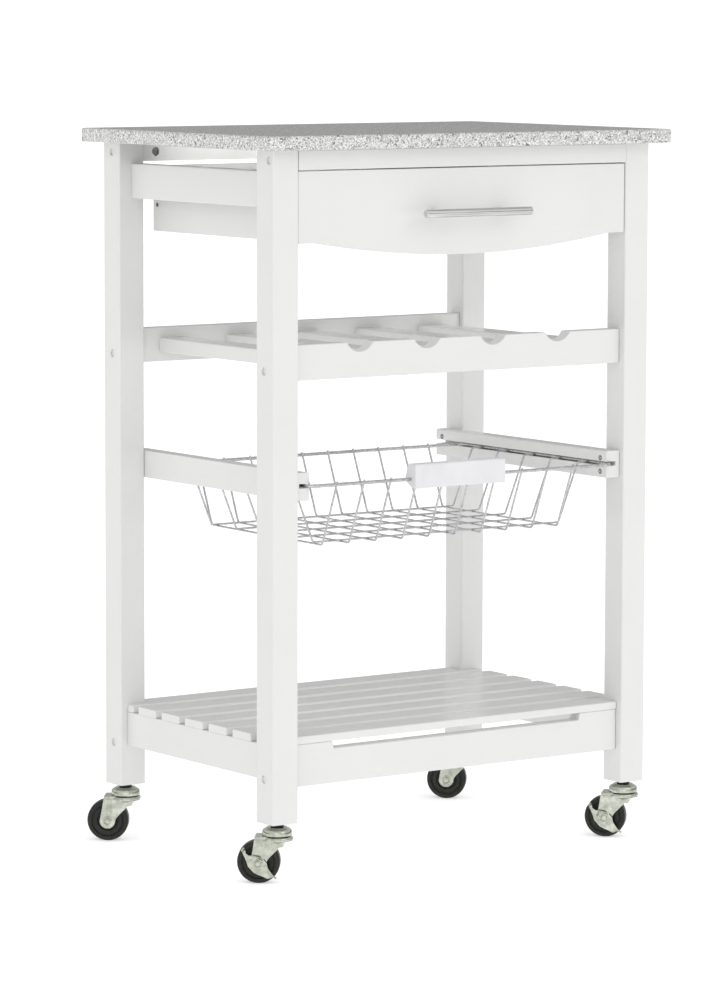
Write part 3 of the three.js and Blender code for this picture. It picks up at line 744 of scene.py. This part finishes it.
def make_screw(name, place, outward):
    """A countersunk cross-head screw flush with a face; outward is the face's normal."""
    stand = Matrix.Translation(place) @ Vector(outward).to_track_quat("Z", "Y").to_matrix().to_4x4()
    arm, slot = SCREW_CROSS["arm"], SCREW_CROSS["slot"]
    cross = []
    for turn in range(4):
        angle = math.radians(SCREW_CROSS["turn"] + 90 * turn)
        ahead = Vector((math.cos(angle), math.sin(angle)))
        aside = Vector((-ahead.y, ahead.x))
        cross += [ahead * arm - aside * slot, ahead * arm + aside * slot, ahead * slot + aside * slot]
    drive = moved(prism("z", cross, -SCREW_CROSS["recess"], 1), stand)
    piece(name, [moved(revolve(SCREW_PROFILE, 28), stand)], DARK_STEEL, "frame", holes=[drive])


# -------- basket runners

RUNNER = {"round": 2.0, "groove_half": 2.5, "groove_depth": 14.0, "groove_middle": 459.0, "ease": 0.7}
RUNNER_SCREWS = ((-160.2, 465.5), (-160.2, 449.2), (160.2, 465.5))


def make_runner(name, side):
    """A grooved board for the basket's rim to slide in, screwed to the legs."""
    low, high = box(name)
    inner, outer = (high.x, low.x) if side < 0 else (low.x, high.x)
    middle, half, curve = RUNNER["groove_middle"], RUNNER["groove_half"], RUNNER["round"]
    bottom = inner + side * RUNNER["groove_depth"]
    outline = [(outer, low.z), (outer, high.z)]
    outline += arc(inner + side * curve, high.z - curve, curve, 90, 90 + side * 90, 8)
    outline += [(inner, middle + half), (bottom, middle + half)]
    outline += [(bottom, middle - half), (inner, middle - half), (inner, low.z)]
    runner = prism("y", outline, low.y, high.y)
    piece(name + "_board", [runner], LACQUER["y"], "frame", [name], ease=RUNNER["ease"])
    for index, (y, z) in enumerate(RUNNER_SCREWS):
        make_screw(f"{name}_screw_{index + 1}", (inner, y, z), (-side, 0, 0))


# -------- drawer

BOW = {"shoulder": 25.2, "height": 737.0}
DRAWER_EASE = 1.1
DRAWER_BOARD_EASE = 1.0
DRAWER_PANEL_EASE = 0.5
PANEL_GAP = 0.3
NAIL_PLACE = (135.0, 769.0)
NAIL_PROFILE = ((0, 0.3), (2.4, 0.25), (2.8, -0.1), (2.8, -0.5), (0, -0.5))


def make_drawer_front():
    """The front panel, its lower edge bowed between two straight shoulders."""
    low, high = box("drawer_front")
    chord = high.x - BOW["shoulder"]
    sag = BOW["height"] - low.z
    radius = (chord**2 + sag**2) / (2 * sag)
    sweep = math.degrees(math.asin(chord / radius))
    outline = [(low.x, BOW["height"])]
    outline += arc(0, low.z + radius, radius, -90 - sweep, -90 + sweep, 40)
    outline += [(high.x, BOW["height"]), (high.x, high.z), (low.x, high.z)]
    panel = [prism("y", outline, low.y, high.y)]
    rounding = {"ease": DRAWER_EASE, "ease_steps": 4}
    piece("drawer_front_panel", panel, LACQUER["x"], "drawer", ["drawer_front"], **rounding)


def make_drawer_box():
    """Two sides grooved for the bottom panel, each with a nail's head, then the back and bottom."""
    panel_low, panel_high = box("drawer_bottom")
    level = (panel_low.z - PANEL_GAP, panel_high.z + PANEL_GAP)
    for name, side in (("left", -1), ("right", 1)):
        node = f"drawer_side_{name}"
        low, high = box(node)
        inner, outer = (high.x, low.x) if side < 0 else (low.x, high.x)
        reach = (panel_low.x if side < 0 else panel_high.x) + side * PANEL_GAP
        groove = rectangle(sorted((inner - side, reach)), level)
        slot = prism("y", groove, low.y - 1, high.y + 1)
        board(node + "_board", node, "y", body="drawer", ease=DRAWER_BOARD_EASE, holes=[slot])
        stand = Matrix.Translation((outer, *NAIL_PLACE)) @ Matrix.Rotation(side * math.pi / 2, 4, "Y")
        piece(f"drawer_nail_{name}", [moved(revolve(NAIL_PROFILE, 20), stand)], DARK_STEEL, "drawer")
    board("drawer_back_board", "drawer_back", "x", body="drawer", ease=DRAWER_BOARD_EASE)
    board("drawer_bottom_panel", "drawer_bottom", "x", body="drawer", ease=DRAWER_PANEL_EASE)


HANDLE = {"radius": 5.0, "post": 3.5, "post_x": 48.0, "chamfer": 0.6, "flare": 0.4}


def make_handle():
    """A round bar with chamfered ends, standing on two posts that flare at the panel."""
    low, high = box("drawer_handle")
    y, z = low.y + HANDLE["radius"], (low.z + high.z) / 2
    radius, chamfer = HANDLE["radius"], HANDLE["chamfer"]
    length = high.x - low.x
    profile = [(0, 0), (radius - chamfer, 0), (radius, chamfer)]
    profile += [(radius, length - chamfer), (radius - chamfer, length), (0, length)]
    lay = Matrix.Translation((low.x, y, z)) @ Matrix.Rotation(math.pi / 2, 4, "Y")
    solids = [moved(revolve(profile, 40), lay)]
    reach, post, flare = high.y - y, HANDLE["post"], HANDLE["flare"]
    stem = [(0, 0), (post, 0), (post, reach - flare), (post + flare, reach), (0, reach)]
    for side in SIDES:
        stand = Matrix.Translation((side * HANDLE["post_x"], y, z)) @ Matrix.Rotation(-math.pi / 2, 4, "X")
        solids.append(moved(revolve(stem, 28), stand))
    piece("drawer_bar_handle", solids, BRUSHED_STEEL, "drawer", ["drawer_handle"])


# -------- drawer supports and slides

SLIDE_SHEET = 1.2
SLIDE_BEND = 0.7
SLIDE_SCREW_Y = (-120.0, 10.0, 110.0)


def channel_outline(web, lip, low, high):
    """A C-section: web at one x, lips reaching towards another."""
    wall, floor, ceiling = math.copysign(SLIDE_SHEET, lip - web), low + SLIDE_SHEET, high - SLIDE_SHEET
    lower = [(web, low), (lip, low), (lip, floor), (web + wall, floor)]
    return lower + [(web + wall, ceiling), (lip, ceiling), (lip, high), (web, high)]


def make_slide_member(node, body, side):
    """A sheet-steel channel with its web on one side; gives the web's x and its middle height."""
    low, high = box(node)
    web, lip = (low.x, high.x) if side < 0 else (high.x, low.x)
    outline = soften(channel_outline(web, lip, low.z, high.z), SLIDE_BEND)
    channel = prism("y", outline, low.y, high.y)
    piece(f"drawer_{node}", [channel], SLIDE_ZINC, body, [node], crease=60)
    return web, (low.z + high.z) / 2


def make_slides():
    """The boards that carry the slides; on each a fixed member with its screws and a moving one."""
    for name, side in (("left", -1), ("right", 1)):
        board(f"drawer_support_{name}_board", f"drawer_support_{name}", "y")
        web, middle = make_slide_member(f"slide_fixed_{name}", "frame", side)
        for index, y in enumerate(SLIDE_SCREW_Y):
            place = (web - side * SLIDE_SHEET, y, middle)
            make_screw(f"slide_screw_{name}_{index + 1}", place, (-side, 0, 0))
        make_slide_member(f"slide_moving_{name}", "drawer", -side)


# -------- basket

BASKET = {
    "rim": 2.0, "wire": 1.2, "corner": 12.0, "bend": 7.0, "side_bend": 4.0, "stub": 1.2, "weld": 0.4,
    "floor": 386.0, "front": -150.0, "back": 91.0,
    "middle": -5.5, "floor_half": 180.0, "hang_half": 209.0,
    "lengthwise": 10, "lengthwise_pitch": 38.2, "lean_front": -6.0, "lean_back": 0.8,
    "crosswise": 5, "crosswise_pitch": 53.0, "crosswise_front": -134.0,
}


def make_basket():
    """The rim, the wires that run from front to back under it, and those across on top of them."""
    low, high = box("basket_wire")
    b = BASKET
    rim, weld = b["rim"], b["weld"]
    z = high.z - rim
    x0, x1, y0, y1 = low.x + rim, high.x - rim, low.y + rim, high.y - rim
    loop = [(u, v, z) for u, v in rounded_rectangle((x0, x1), (y0, y1), b["corner"], 6)]
    solids = [tube(loop, rim, 14, closed=True)]
    for i in range(b["lengthwise"]):
        x = b["middle"] + (i - (b["lengthwise"] - 1) / 2) * b["lengthwise_pitch"]
        front, back = x + b["lean_front"], x + b["lean_back"]
        corners = [
            (front, y0 - weld, z + rim + b["stub"]),
            (front, b["front"], b["floor"]),
            (back, b["back"], b["floor"]),
            (back, y1 + weld, z + rim + b["stub"]),
        ]
        solids.append(tube(bend_path(corners, b["bend"], 6), b["wire"], 10))
    lifted = b["floor"] + 1.5 * b["wire"]
    for i in range(b["crosswise"]):
        y = b["crosswise_front"] + i * b["crosswise_pitch"]
        corners = [
            (x0, y, z),
            (b["middle"] - b["hang_half"], y, z),
            (b["middle"] - b["floor_half"], y, lifted),
            (b["middle"] + b["floor_half"], y, lifted),
            (b["middle"] + b["hang_half"], y, z),
            (x1, y, z),
        ]
        solids.append(tube(bend_path(corners, b["side_bend"], 6), b["wire"], 10))
    piece("basket_wires", solids, BRIGHT_WIRE, "basket", ["basket_wire"], crease=60)


# The grip's section, from its front face and the rim's middle height.
GRIP_SECTION = ((1, -10.5), (8, -10.5), (21, -3), (22, 0), (16, 18), (1, 18), (0, 16), (0, -9.5))
GRIP_SOFTENING = 3.0
GRIP_ROUND = 3.4


def make_grip():
    """A moulded grip pressed over the basket's front rim: flat in front, sloping behind."""
    low, high = box("basket_grip")
    y, z = low.y, box("basket_wire")[1].z - BASKET["rim"]
    section = soften([(y + u, z + v) for u, v in GRIP_SECTION], GRIP_SOFTENING, 4)
    grip = [prism("x", section, low.x, high.x)]
    rounding = {"ease": GRIP_ROUND, "ease_steps": 4}
    piece("basket_handle_grip", grip, WHITE_PLASTIC, "basket", ["basket_grip"], **rounding)


# -------- casters

# A caster's own frame has its swivel axis at the origin, the wheel trailing towards +X.
TRAIL = 21.0
AXLE_HEIGHT = 25.0
AXLE_BORE = 3.1
PLATE_Y = 12.1
PLATE_SHEET = 1.8
PRESSED_CREASE = 50


def caster_stand(corner):
    """The matrix from the caster's own frame to the cart's, for its heading in the photograph."""
    turn = Vector(JOINTS[f"caster_{corner}_turn"]["pos_m"])
    roll = Vector(JOINTS[f"caster_{corner}_roll"]["pos_m"])
    heading = math.atan2(roll.y - turn.y, roll.x - turn.x)
    return Matrix.Translation((turn.x / MM, turn.y / MM, 0)) @ Matrix.Rotation(heading, 4, "Z")


def axle_stand(stand):
    """The same for what turns about the axle: its profile's +Z runs along the axle."""
    return stand @ Matrix.Translation((TRAIL, 0, AXLE_HEIGHT)) @ Matrix.Rotation(-math.pi / 2, 4, "X")


COLLAR_PROFILE = ((0, 69.9), (7.2, 69.9), (7.6, 69.2), (7.6, 65.6), (7.2, 64.6), (0, 64.6))

# The pressed cap over the race, then the kingpin and its riveted lower end.
CAP_DOME = ((0, 64.9), (8.2, 64.9), (9.0, 65.5), (11.8, 65.3), (12.6, 64.6), (13.0, 63.9), (14.6, 63.5))
CAP_SKIRT = ((16.2, 62.4), (17.1, 60.6), (17.4, 58.6), (17.5, 56.4), (17.1, 55.8), (15.8, 55.9))
KINGPIN = ((4.0, 55.9), (4.0, 51.0), (6.2, 51.0), (6.0, 49.4), (4.2, 48.3), (0, 48.1))


def make_caster_head(corner, stand):
    """What stays with the leg: the cap on its kingpin, and the socket's collar above it."""
    head = moved(revolve(CAP_DOME + CAP_SKIRT + KINGPIN, 56), stand)
    node = f"caster_{corner}_head"
    piece(f"caster_cap_{corner}", [head], ZINC, "frame", [node], crease=PRESSED_CREASE)
    collar = moved(revolve(COLLAR_PROFILE, 40), stand)
    piece(f"caster_collar_{corner}", [collar], BLACK_PLASTIC, "frame", crease=PRESSED_CREASE)


def lerp(table, x):
    """Straight-line interpolation in a short table of (x, value) pairs."""
    for (x0, y0), (x1, y1) in zip(table, table[1:]):
        if x <= x1:
            return y0 + (y1 - y0) * max(0.0, (x - x0) / (x1 - x0))
    return table[-1][1]


EAR_RADIUS = 9.3
EAR_SWEEP = (14, 86)
PLATE_TOP = 51.8
LEADING_EDGE = ((25.6, 12.0), (30.0, 9.0), (42.0, -2.6), (45.0, -4.6), (48.0, -7.2), (52.0, -9.0))
TRAILING_EDGE = ((25.0, 30.3), (40.0, 27.4), (52.0, 25.6))
EAR_ROWS = 7
PLATE_ROWS = 14
PLATE_COLUMNS = 32
FOLD = {"at": 16.0, "out": 0.4, "step": 1.2, "steep": 3.2, "groove": 0.3, "width": 1.0, "curve": 0.0032}
FLARE = {"curve": 0.04, "above": 46.0, "ahead_of": 12.0, "run": 10.0}
PLATE_FACE = PLATE_Y + FOLD["out"] + PLATE_SHEET / 2


def plate_row(side, z, start, end):
    """Points of a cheek's middle surface at one height: folded inwards in front, flared at the top."""
    row = []
    for k in range(PLATE_COLUMNS + 1):
        s = start + (end - start) * k / PLATE_COLUMNS
        before = max(0.0, FOLD["at"] - s)
        groove = FOLD["groove"] * math.exp(-(((s - FOLD["at"]) / FOLD["width"]) ** 2))
        step = FOLD["step"] / (1 + math.exp(-FOLD["steep"] * (FOLD["at"] - s)))
        inward = FOLD["curve"] * before**2 + groove + step - FOLD["out"]
        forward = max(0.0, min(1.0, (FLARE["ahead_of"] - s) / FLARE["run"]))
        flare = FLARE["curve"] * max(0.0, z - FLARE["above"]) ** 2 * forward
        row.append((s, side * (PLATE_Y - inward + flare), z))
    return row


def fork_plate(side):
    """One cheek of the fork: round about the axle, a slanting leading edge, a fold down its middle."""
    rows = []
    first, last = EAR_SWEEP
    for i in range(EAR_ROWS):
        angle = math.radians(first + (last - first) * i / (EAR_ROWS - 1))
        half = EAR_RADIUS * math.sin(angle)
        z = AXLE_HEIGHT - EAR_RADIUS * math.cos(angle)
        rows.append(plate_row(side, z, TRAIL - half, TRAIL + half))
    for i in range(1, PLATE_ROWS + 1):
        z = AXLE_HEIGHT + (PLATE_TOP - AXLE_HEIGHT) * i / PLATE_ROWS
        rows.append(plate_row(side, z, lerp(LEADING_EDGE, z), lerp(TRAILING_EDGE, z)))
    return grid(rows)


CROWN_TOP = ((4.2, 55.2), (12.0, 55.2), (15.4, 55.0), (17.2, 54.4), (18.3, 53.2), (18.6, 51.6))
CROWN_UNDER = ((18.2, 50.6), (17.4, 50.9), (16.8, 52.2), (15.0, 53.2), (12.0, 53.4), (4.2, 53.4))
NOSE_PROFILE = ((18.2, 50.7), (15.2, 49.9), (12.2, 48.7), (9.8, 47.0), (8.0, 44.8), (6.8, 42.2))
NOSE_SWEEP = (80, 280)
NOSE_SHEET = 1.4
SHOULDER = {"x": (3.0, 25.6), "y": (-12.9, 12.9), "corner": 3.2, "low": 50.6, "high": 55.5, "bore": 4.2}


def make_caster_fork(corner, stand):
    """Two cheeks, the crown under the cap, the nose in front and the shoulder that joins them."""
    body = f"caster_{corner}_swivel"
    plates = [moved(fork_plate(side), stand) for side in SIDES]
    shape = {"sheet": PLATE_SHEET, "ease": 0.45, "ease_steps": 2, "crease": PRESSED_CREASE}
    hole = moved(round_hole("y", TRAIL, AXLE_HEIGHT, AXLE_BORE, -20, 20), stand)
    piece(f"caster_fork_{corner}", plates, ZINC, body, [f"caster_{corner}_fork"], holes=[hole], **shape)
    crown = moved(revolve(CROWN_TOP + CROWN_UNDER + CROWN_TOP[:1], 56), stand)
    piece(f"caster_crown_{corner}", [crown], ZINC, body, crease=PRESSED_CREASE)
    nose = moved(revolve(NOSE_PROFILE, 28, NOSE_SWEEP), stand)
    piece(f"caster_nose_{corner}", [nose], ZINC, body, sheet=NOSE_SHEET, crease=PRESSED_CREASE)
    low, high = SHOULDER["low"], SHOULDER["high"]
    outline = rounded_rectangle(SHOULDER["x"], SHOULDER["y"], SHOULDER["corner"], 6)
    shoulder = moved(prism("z", outline, low, high), stand)
    hole = moved(round_hole("z", 0, 0, SHOULDER["bore"], low - 1, high + 1, steps=28), stand)
    piece(f"caster_shoulder_{corner}", [shoulder], ZINC, body, ease=1.5, ease_steps=4, holes=[hole])


WHEEL_RADIUS = 25.0
WHEEL_HALF = 9.5

# The wheel's face: the tread's rounded edge by depth below the rim, then its stepped rings as
# shares of the radius and the hub by radius, each with its height over the face.
TREAD_EDGE = ((0, -3.4), (0.4, -1.8), (1.4, -0.6), (2.8, 0))
OUTER_RINGS = ((0.79, 0), (0.765, -1.6), (0.725, -1.6), (0.70, -0.2), (0.62, -0.5), (0.51, -0.9))
INNER_RINGS = ((0.48, -2.4), (0.43, -2.4), (0.40, -0.5), (0.34, 0.1))
HUB = ((7.4, 0.9), (6.4, 1.0), (AXLE_BORE, 1.0))


def make_caster_wheel(corner, stand):
    face = [(WHEEL_RADIUS - depth, WHEEL_HALF + over) for depth, over in TREAD_EDGE]
    face += [(WHEEL_RADIUS * share, WHEEL_HALF + over) for share, over in OUTER_RINGS + INNER_RINGS]
    face += [(radius, WHEEL_HALF + over) for radius, over in HUB]
    other = [(r, -h) for r, h in reversed(face)]
    wheel = moved(revolve(face + other + [face[0]], 72), axle_stand(stand))
    body, node = f"caster_{corner}_rolling_wheel", f"caster_{corner}_wheel"
    piece(f"caster_wheel_{corner}_tyre", [wheel], BLACK_PLASTIC, body, [node], crease=40)


# A riveted head from the axle outwards: its washer, then the turned-over end.
RIVET_WASHER = ((3.0, 0), (5.4, 0), (5.6, 0.5), (5.0, 1.1), (4.2, 0.9))
RIVET_END = ((3.9, 0.4), (3.5, 0.5), (3.1, 1.6), (1.9, 2.2), (0, 2.4))


def rivet_head(face, outward):
    return [(radius, face + outward * height) for radius, height in RIVET_WASHER + RIVET_END]


def make_caster_axle(corner, stand, near):
    """The axle's riveted heads, the near one standing on the brake lever where there is one."""
    profile = rivet_head(-PLATE_FACE, -1)[::-1] + rivet_head(near, 1)
    axle = moved(revolve(profile, 36), axle_stand(stand))
    body, node = f"caster_{corner}_swivel", f"caster_{corner}_axle"
    piece(f"caster_rivet_{corner}", [axle], ZINC, body, [node], crease=PRESSED_CREASE)


BRAKE_TILT = 45.5
BRAKE_Y = 15.0
BRAKE_SHEET = 1.4
BRAKE_ENDS = (-24.5, 27.5)
BRAKE_ROWS = 64
BRAKE_COLUMNS = 24
BRAKE_DOME = {"height": 1.6, "radius": 8.2, "steep": 1.6}
BRAKE_RIM = {"height": 1.5, "width": 1.0, "from": -19.0, "to": 7.0}
BRAKE_TAB = {"from": 19.0, "pedal": 0.16, "tail": -0.08}
BRAKE_DROOP = {"high": 0.012, "low": 0.0048}

# The lever's lower and upper edge: distance from its middle line by place along it.
BRAKE_LOW = (
    (-25, 3.0), (-18, 5.6), (-12.7, 7.4), (-5.5, 11.0), (4.2, 11.4), (10, 9.4),
    (15.3, 6.9), (20, 5.3), (21.5, 3.6), (22.8, -0.2), (28, -0.5),
)
BRAKE_HIGH = (
    (-25, 2.2), (-22, 0.4), (-18, -2.0), (-13, -0.6), (-9.5, 2.8), (-4.6, 6.3),
    (1.2, 7.6), (6.1, 7.2), (12.7, 3.8), (22, 2.4), (28, 2.5),
)


def brake_point(along, across, from_edge):
    """A point of the lever's middle surface.

    along runs down the slope, across towards the floor, from_edge is the distance to the upper edge.
    """
    beyond = math.hypot(along, across) - BRAKE_DOME["radius"]
    dome = BRAKE_DOME["height"] / (1 + math.exp(BRAKE_DOME["steep"] * beyond))
    bend = max(0.0, abs(along) - BRAKE_TAB["from"])
    tab = BRAKE_TAB["pedal" if along < 0 else "tail"] * bend**2
    rim = 0.0
    if BRAKE_RIM["from"] < along < BRAKE_RIM["to"]:
        share = (along - BRAKE_RIM["from"]) / (BRAKE_RIM["to"] - BRAKE_RIM["from"])
        rim = BRAKE_RIM["height"] * math.sin(math.pi * share) ** 0.5
        rim *= math.exp(-((from_edge / BRAKE_RIM["width"]) ** 2))
    droop = BRAKE_DROOP["high" if across < 0 else "low"] * across**2
    outward = BRAKE_Y + dome - droop + tab + rim
    tilt = math.radians(BRAKE_TILT)
    s = TRAIL - along * math.cos(tilt) + across * math.sin(tilt)
    z = AXLE_HEIGHT - along * math.sin(tilt) - across * math.cos(tilt)
    return (s, outward, z)


def make_brake(corner, stand):
    """The pressed lever on the outside of a front caster, turning about its axle."""
    rows = []
    start, end = BRAKE_ENDS
    for i in range(BRAKE_ROWS + 1):
        along = start + (end - start) * i / BRAKE_ROWS
        low, high = -lerp(BRAKE_HIGH, along), lerp(BRAKE_LOW, along)
        gaps = [(high - low) * k / BRAKE_COLUMNS for k in range(BRAKE_COLUMNS + 1)]
        rows.append([brake_point(along, low + gap, gap) for gap in gaps])
    lever = moved(grid(rows), stand)
    hole = moved(round_hole("y", TRAIL, AXLE_HEIGHT, AXLE_BORE, 8, 30), stand)
    shape = {"sheet": BRAKE_SHEET, "ease": 0.4, "ease_steps": 2, "crease": PRESSED_CREASE}
    body, node = f"caster_{corner}_brake_lever", f"caster_{corner}_brake"
    piece(f"caster_brake_plate_{corner}", [lever], ZINC, body, [node], holes=[hole], **shape)


def make_caster(corner):
    stand = caster_stand(corner)
    braked = corner.startswith("front")
    make_caster_head(corner, stand)
    make_caster_fork(corner, stand)
    make_caster_wheel(corner, stand)
    near = BRAKE_Y + BRAKE_DOME["height"] + BRAKE_SHEET / 2 if braked else PLATE_FACE
    make_caster_axle(corner, stand, near)
    if braked:
        make_brake(corner, stand)


# -------- floor and light

FLOOR_HALF = 3000.0
FLOOR_GLOW = 0.42

# The light tent: brightness of its walls by height, from the horizon to overhead.
TENT = ((0.0, 0.24), (0.12, 0.30), (0.27, 1.0), (1.0, 1.0))
TENT_STRENGTH = 0.97

# The tent's front wall is bright down to the horizon: by the cosine to its middle.
FRONT_WALL = {"middle": (-0.58, -0.81, 0.0), "edge": 0.15, "full": 0.55}

# A darker canopy over and behind the cart: brightness by the angle's cosine to its middle.
CANOPY = {"middle": (0.30, 0.40, 0.87), "edge": 0.58, "full": 0.84, "shade": 0.55}

# Area lights: place, target, width, height, watts, tint and spread. The strip stands under the
# worktop and faces the back rail, for the light that reaches in there.
LIGHTS = {
    "key": ((1.3, -4.6, 3.3), (0, 0, 0.4), 2.6, 2.0, 18, (0.965, 0.985, 1.0), 180),
    "fill": ((-3.4, -4.6, 1.0), (0, 0, 0.6), 3.4, 0.5, 8, (1.0, 0.995, 0.97), 180),
    "strip": ((-0.07, 0.0, 0.836), (-0.07, 0.17, 0.834), 0.28, 0.01, 0.055, (1.0, 0.99, 0.975), 50),
}


def make_floor():
    n = Nodes("studio_floor")
    n.set(Metallic=0.0, Roughness=1.0, Specular_IOR_Level=0.0, Emission_Strength=FLOOR_GLOW)
    n.shader.inputs["Emission Color"].default_value = (1, 1, 1, 1)
    n.colour(n.ramp(n.noise(0.8, detail=1), (0.0, (0.95, 0.95, 0.95)), (1.0, (0.97, 0.97, 0.97))))
    mesh = bpy.data.meshes.new("floor")
    corners = [(-1, -1), (1, -1), (1, 1), (-1, 1)]
    mesh.from_pydata([(x * FLOOR_HALF, y * FLOOR_HALF, 0) for x, y in corners], [], [(0, 1, 2, 3)])
    mesh.materials.append(n.material)
    floor = bpy.data.objects.new("floor", mesh)
    bpy.context.scene.collection.objects.link(floor)


def make_light(name, place, target, width, height, power, tint, spread):
    data = bpy.data.lights.new(name, "AREA")
    data.shape = "RECTANGLE"
    data.size = width
    data.size_y = height
    data.energy = power
    data.color = tint
    data.spread = math.radians(spread)
    light = bpy.data.objects.new(name, data)
    aim = (Vector(target) - Vector(place)).to_track_quat("-Z", "Y")
    light.matrix_world = Matrix.Translation(place) @ aim.to_matrix().to_4x4()
    bpy.context.scene.collection.objects.link(light)


def make_tent():
    world = bpy.data.worlds.new("studio")
    world.use_nodes = True
    t = Tree(world.node_tree)
    background = t.tree.nodes["Background"]
    direction = t.add("ShaderNodeTexCoord").outputs["Generated"]
    split = t.add("ShaderNodeSeparateXYZ", {0: direction})
    walls = t.ramp(split.outputs["Z"], *TENT)
    brightest = t.math("MAXIMUM", t.nearness(direction, FRONT_WALL, 0.0, 1.0), walls)
    t.link(brightest, background.inputs["Color"])
    shaded = TENT_STRENGTH * CANOPY["shade"]
    t.link(t.nearness(direction, CANOPY, TENT_STRENGTH, shaded), background.inputs["Strength"])
    bpy.context.scene.world = world


def make_studio():
    make_tent()
    for name, settings in LIGHTS.items():
        make_light(name, *settings)
    bpy.context.scene.view_settings.view_transform = "Standard"


# -------- the cart

make_camera()
make_worktop()
for corner in CORNERS:
    make_leg(corner)
make_top_rails()
make_rack()
make_shelf()
make_runner("runner_left", -1)
make_runner("runner_right", 1)
make_drawer_front()
make_drawer_box()
make_handle()
make_slides()
make_basket()
make_grip()
for corner in CORNERS:
    make_caster(corner)
make_floor()
make_studio()
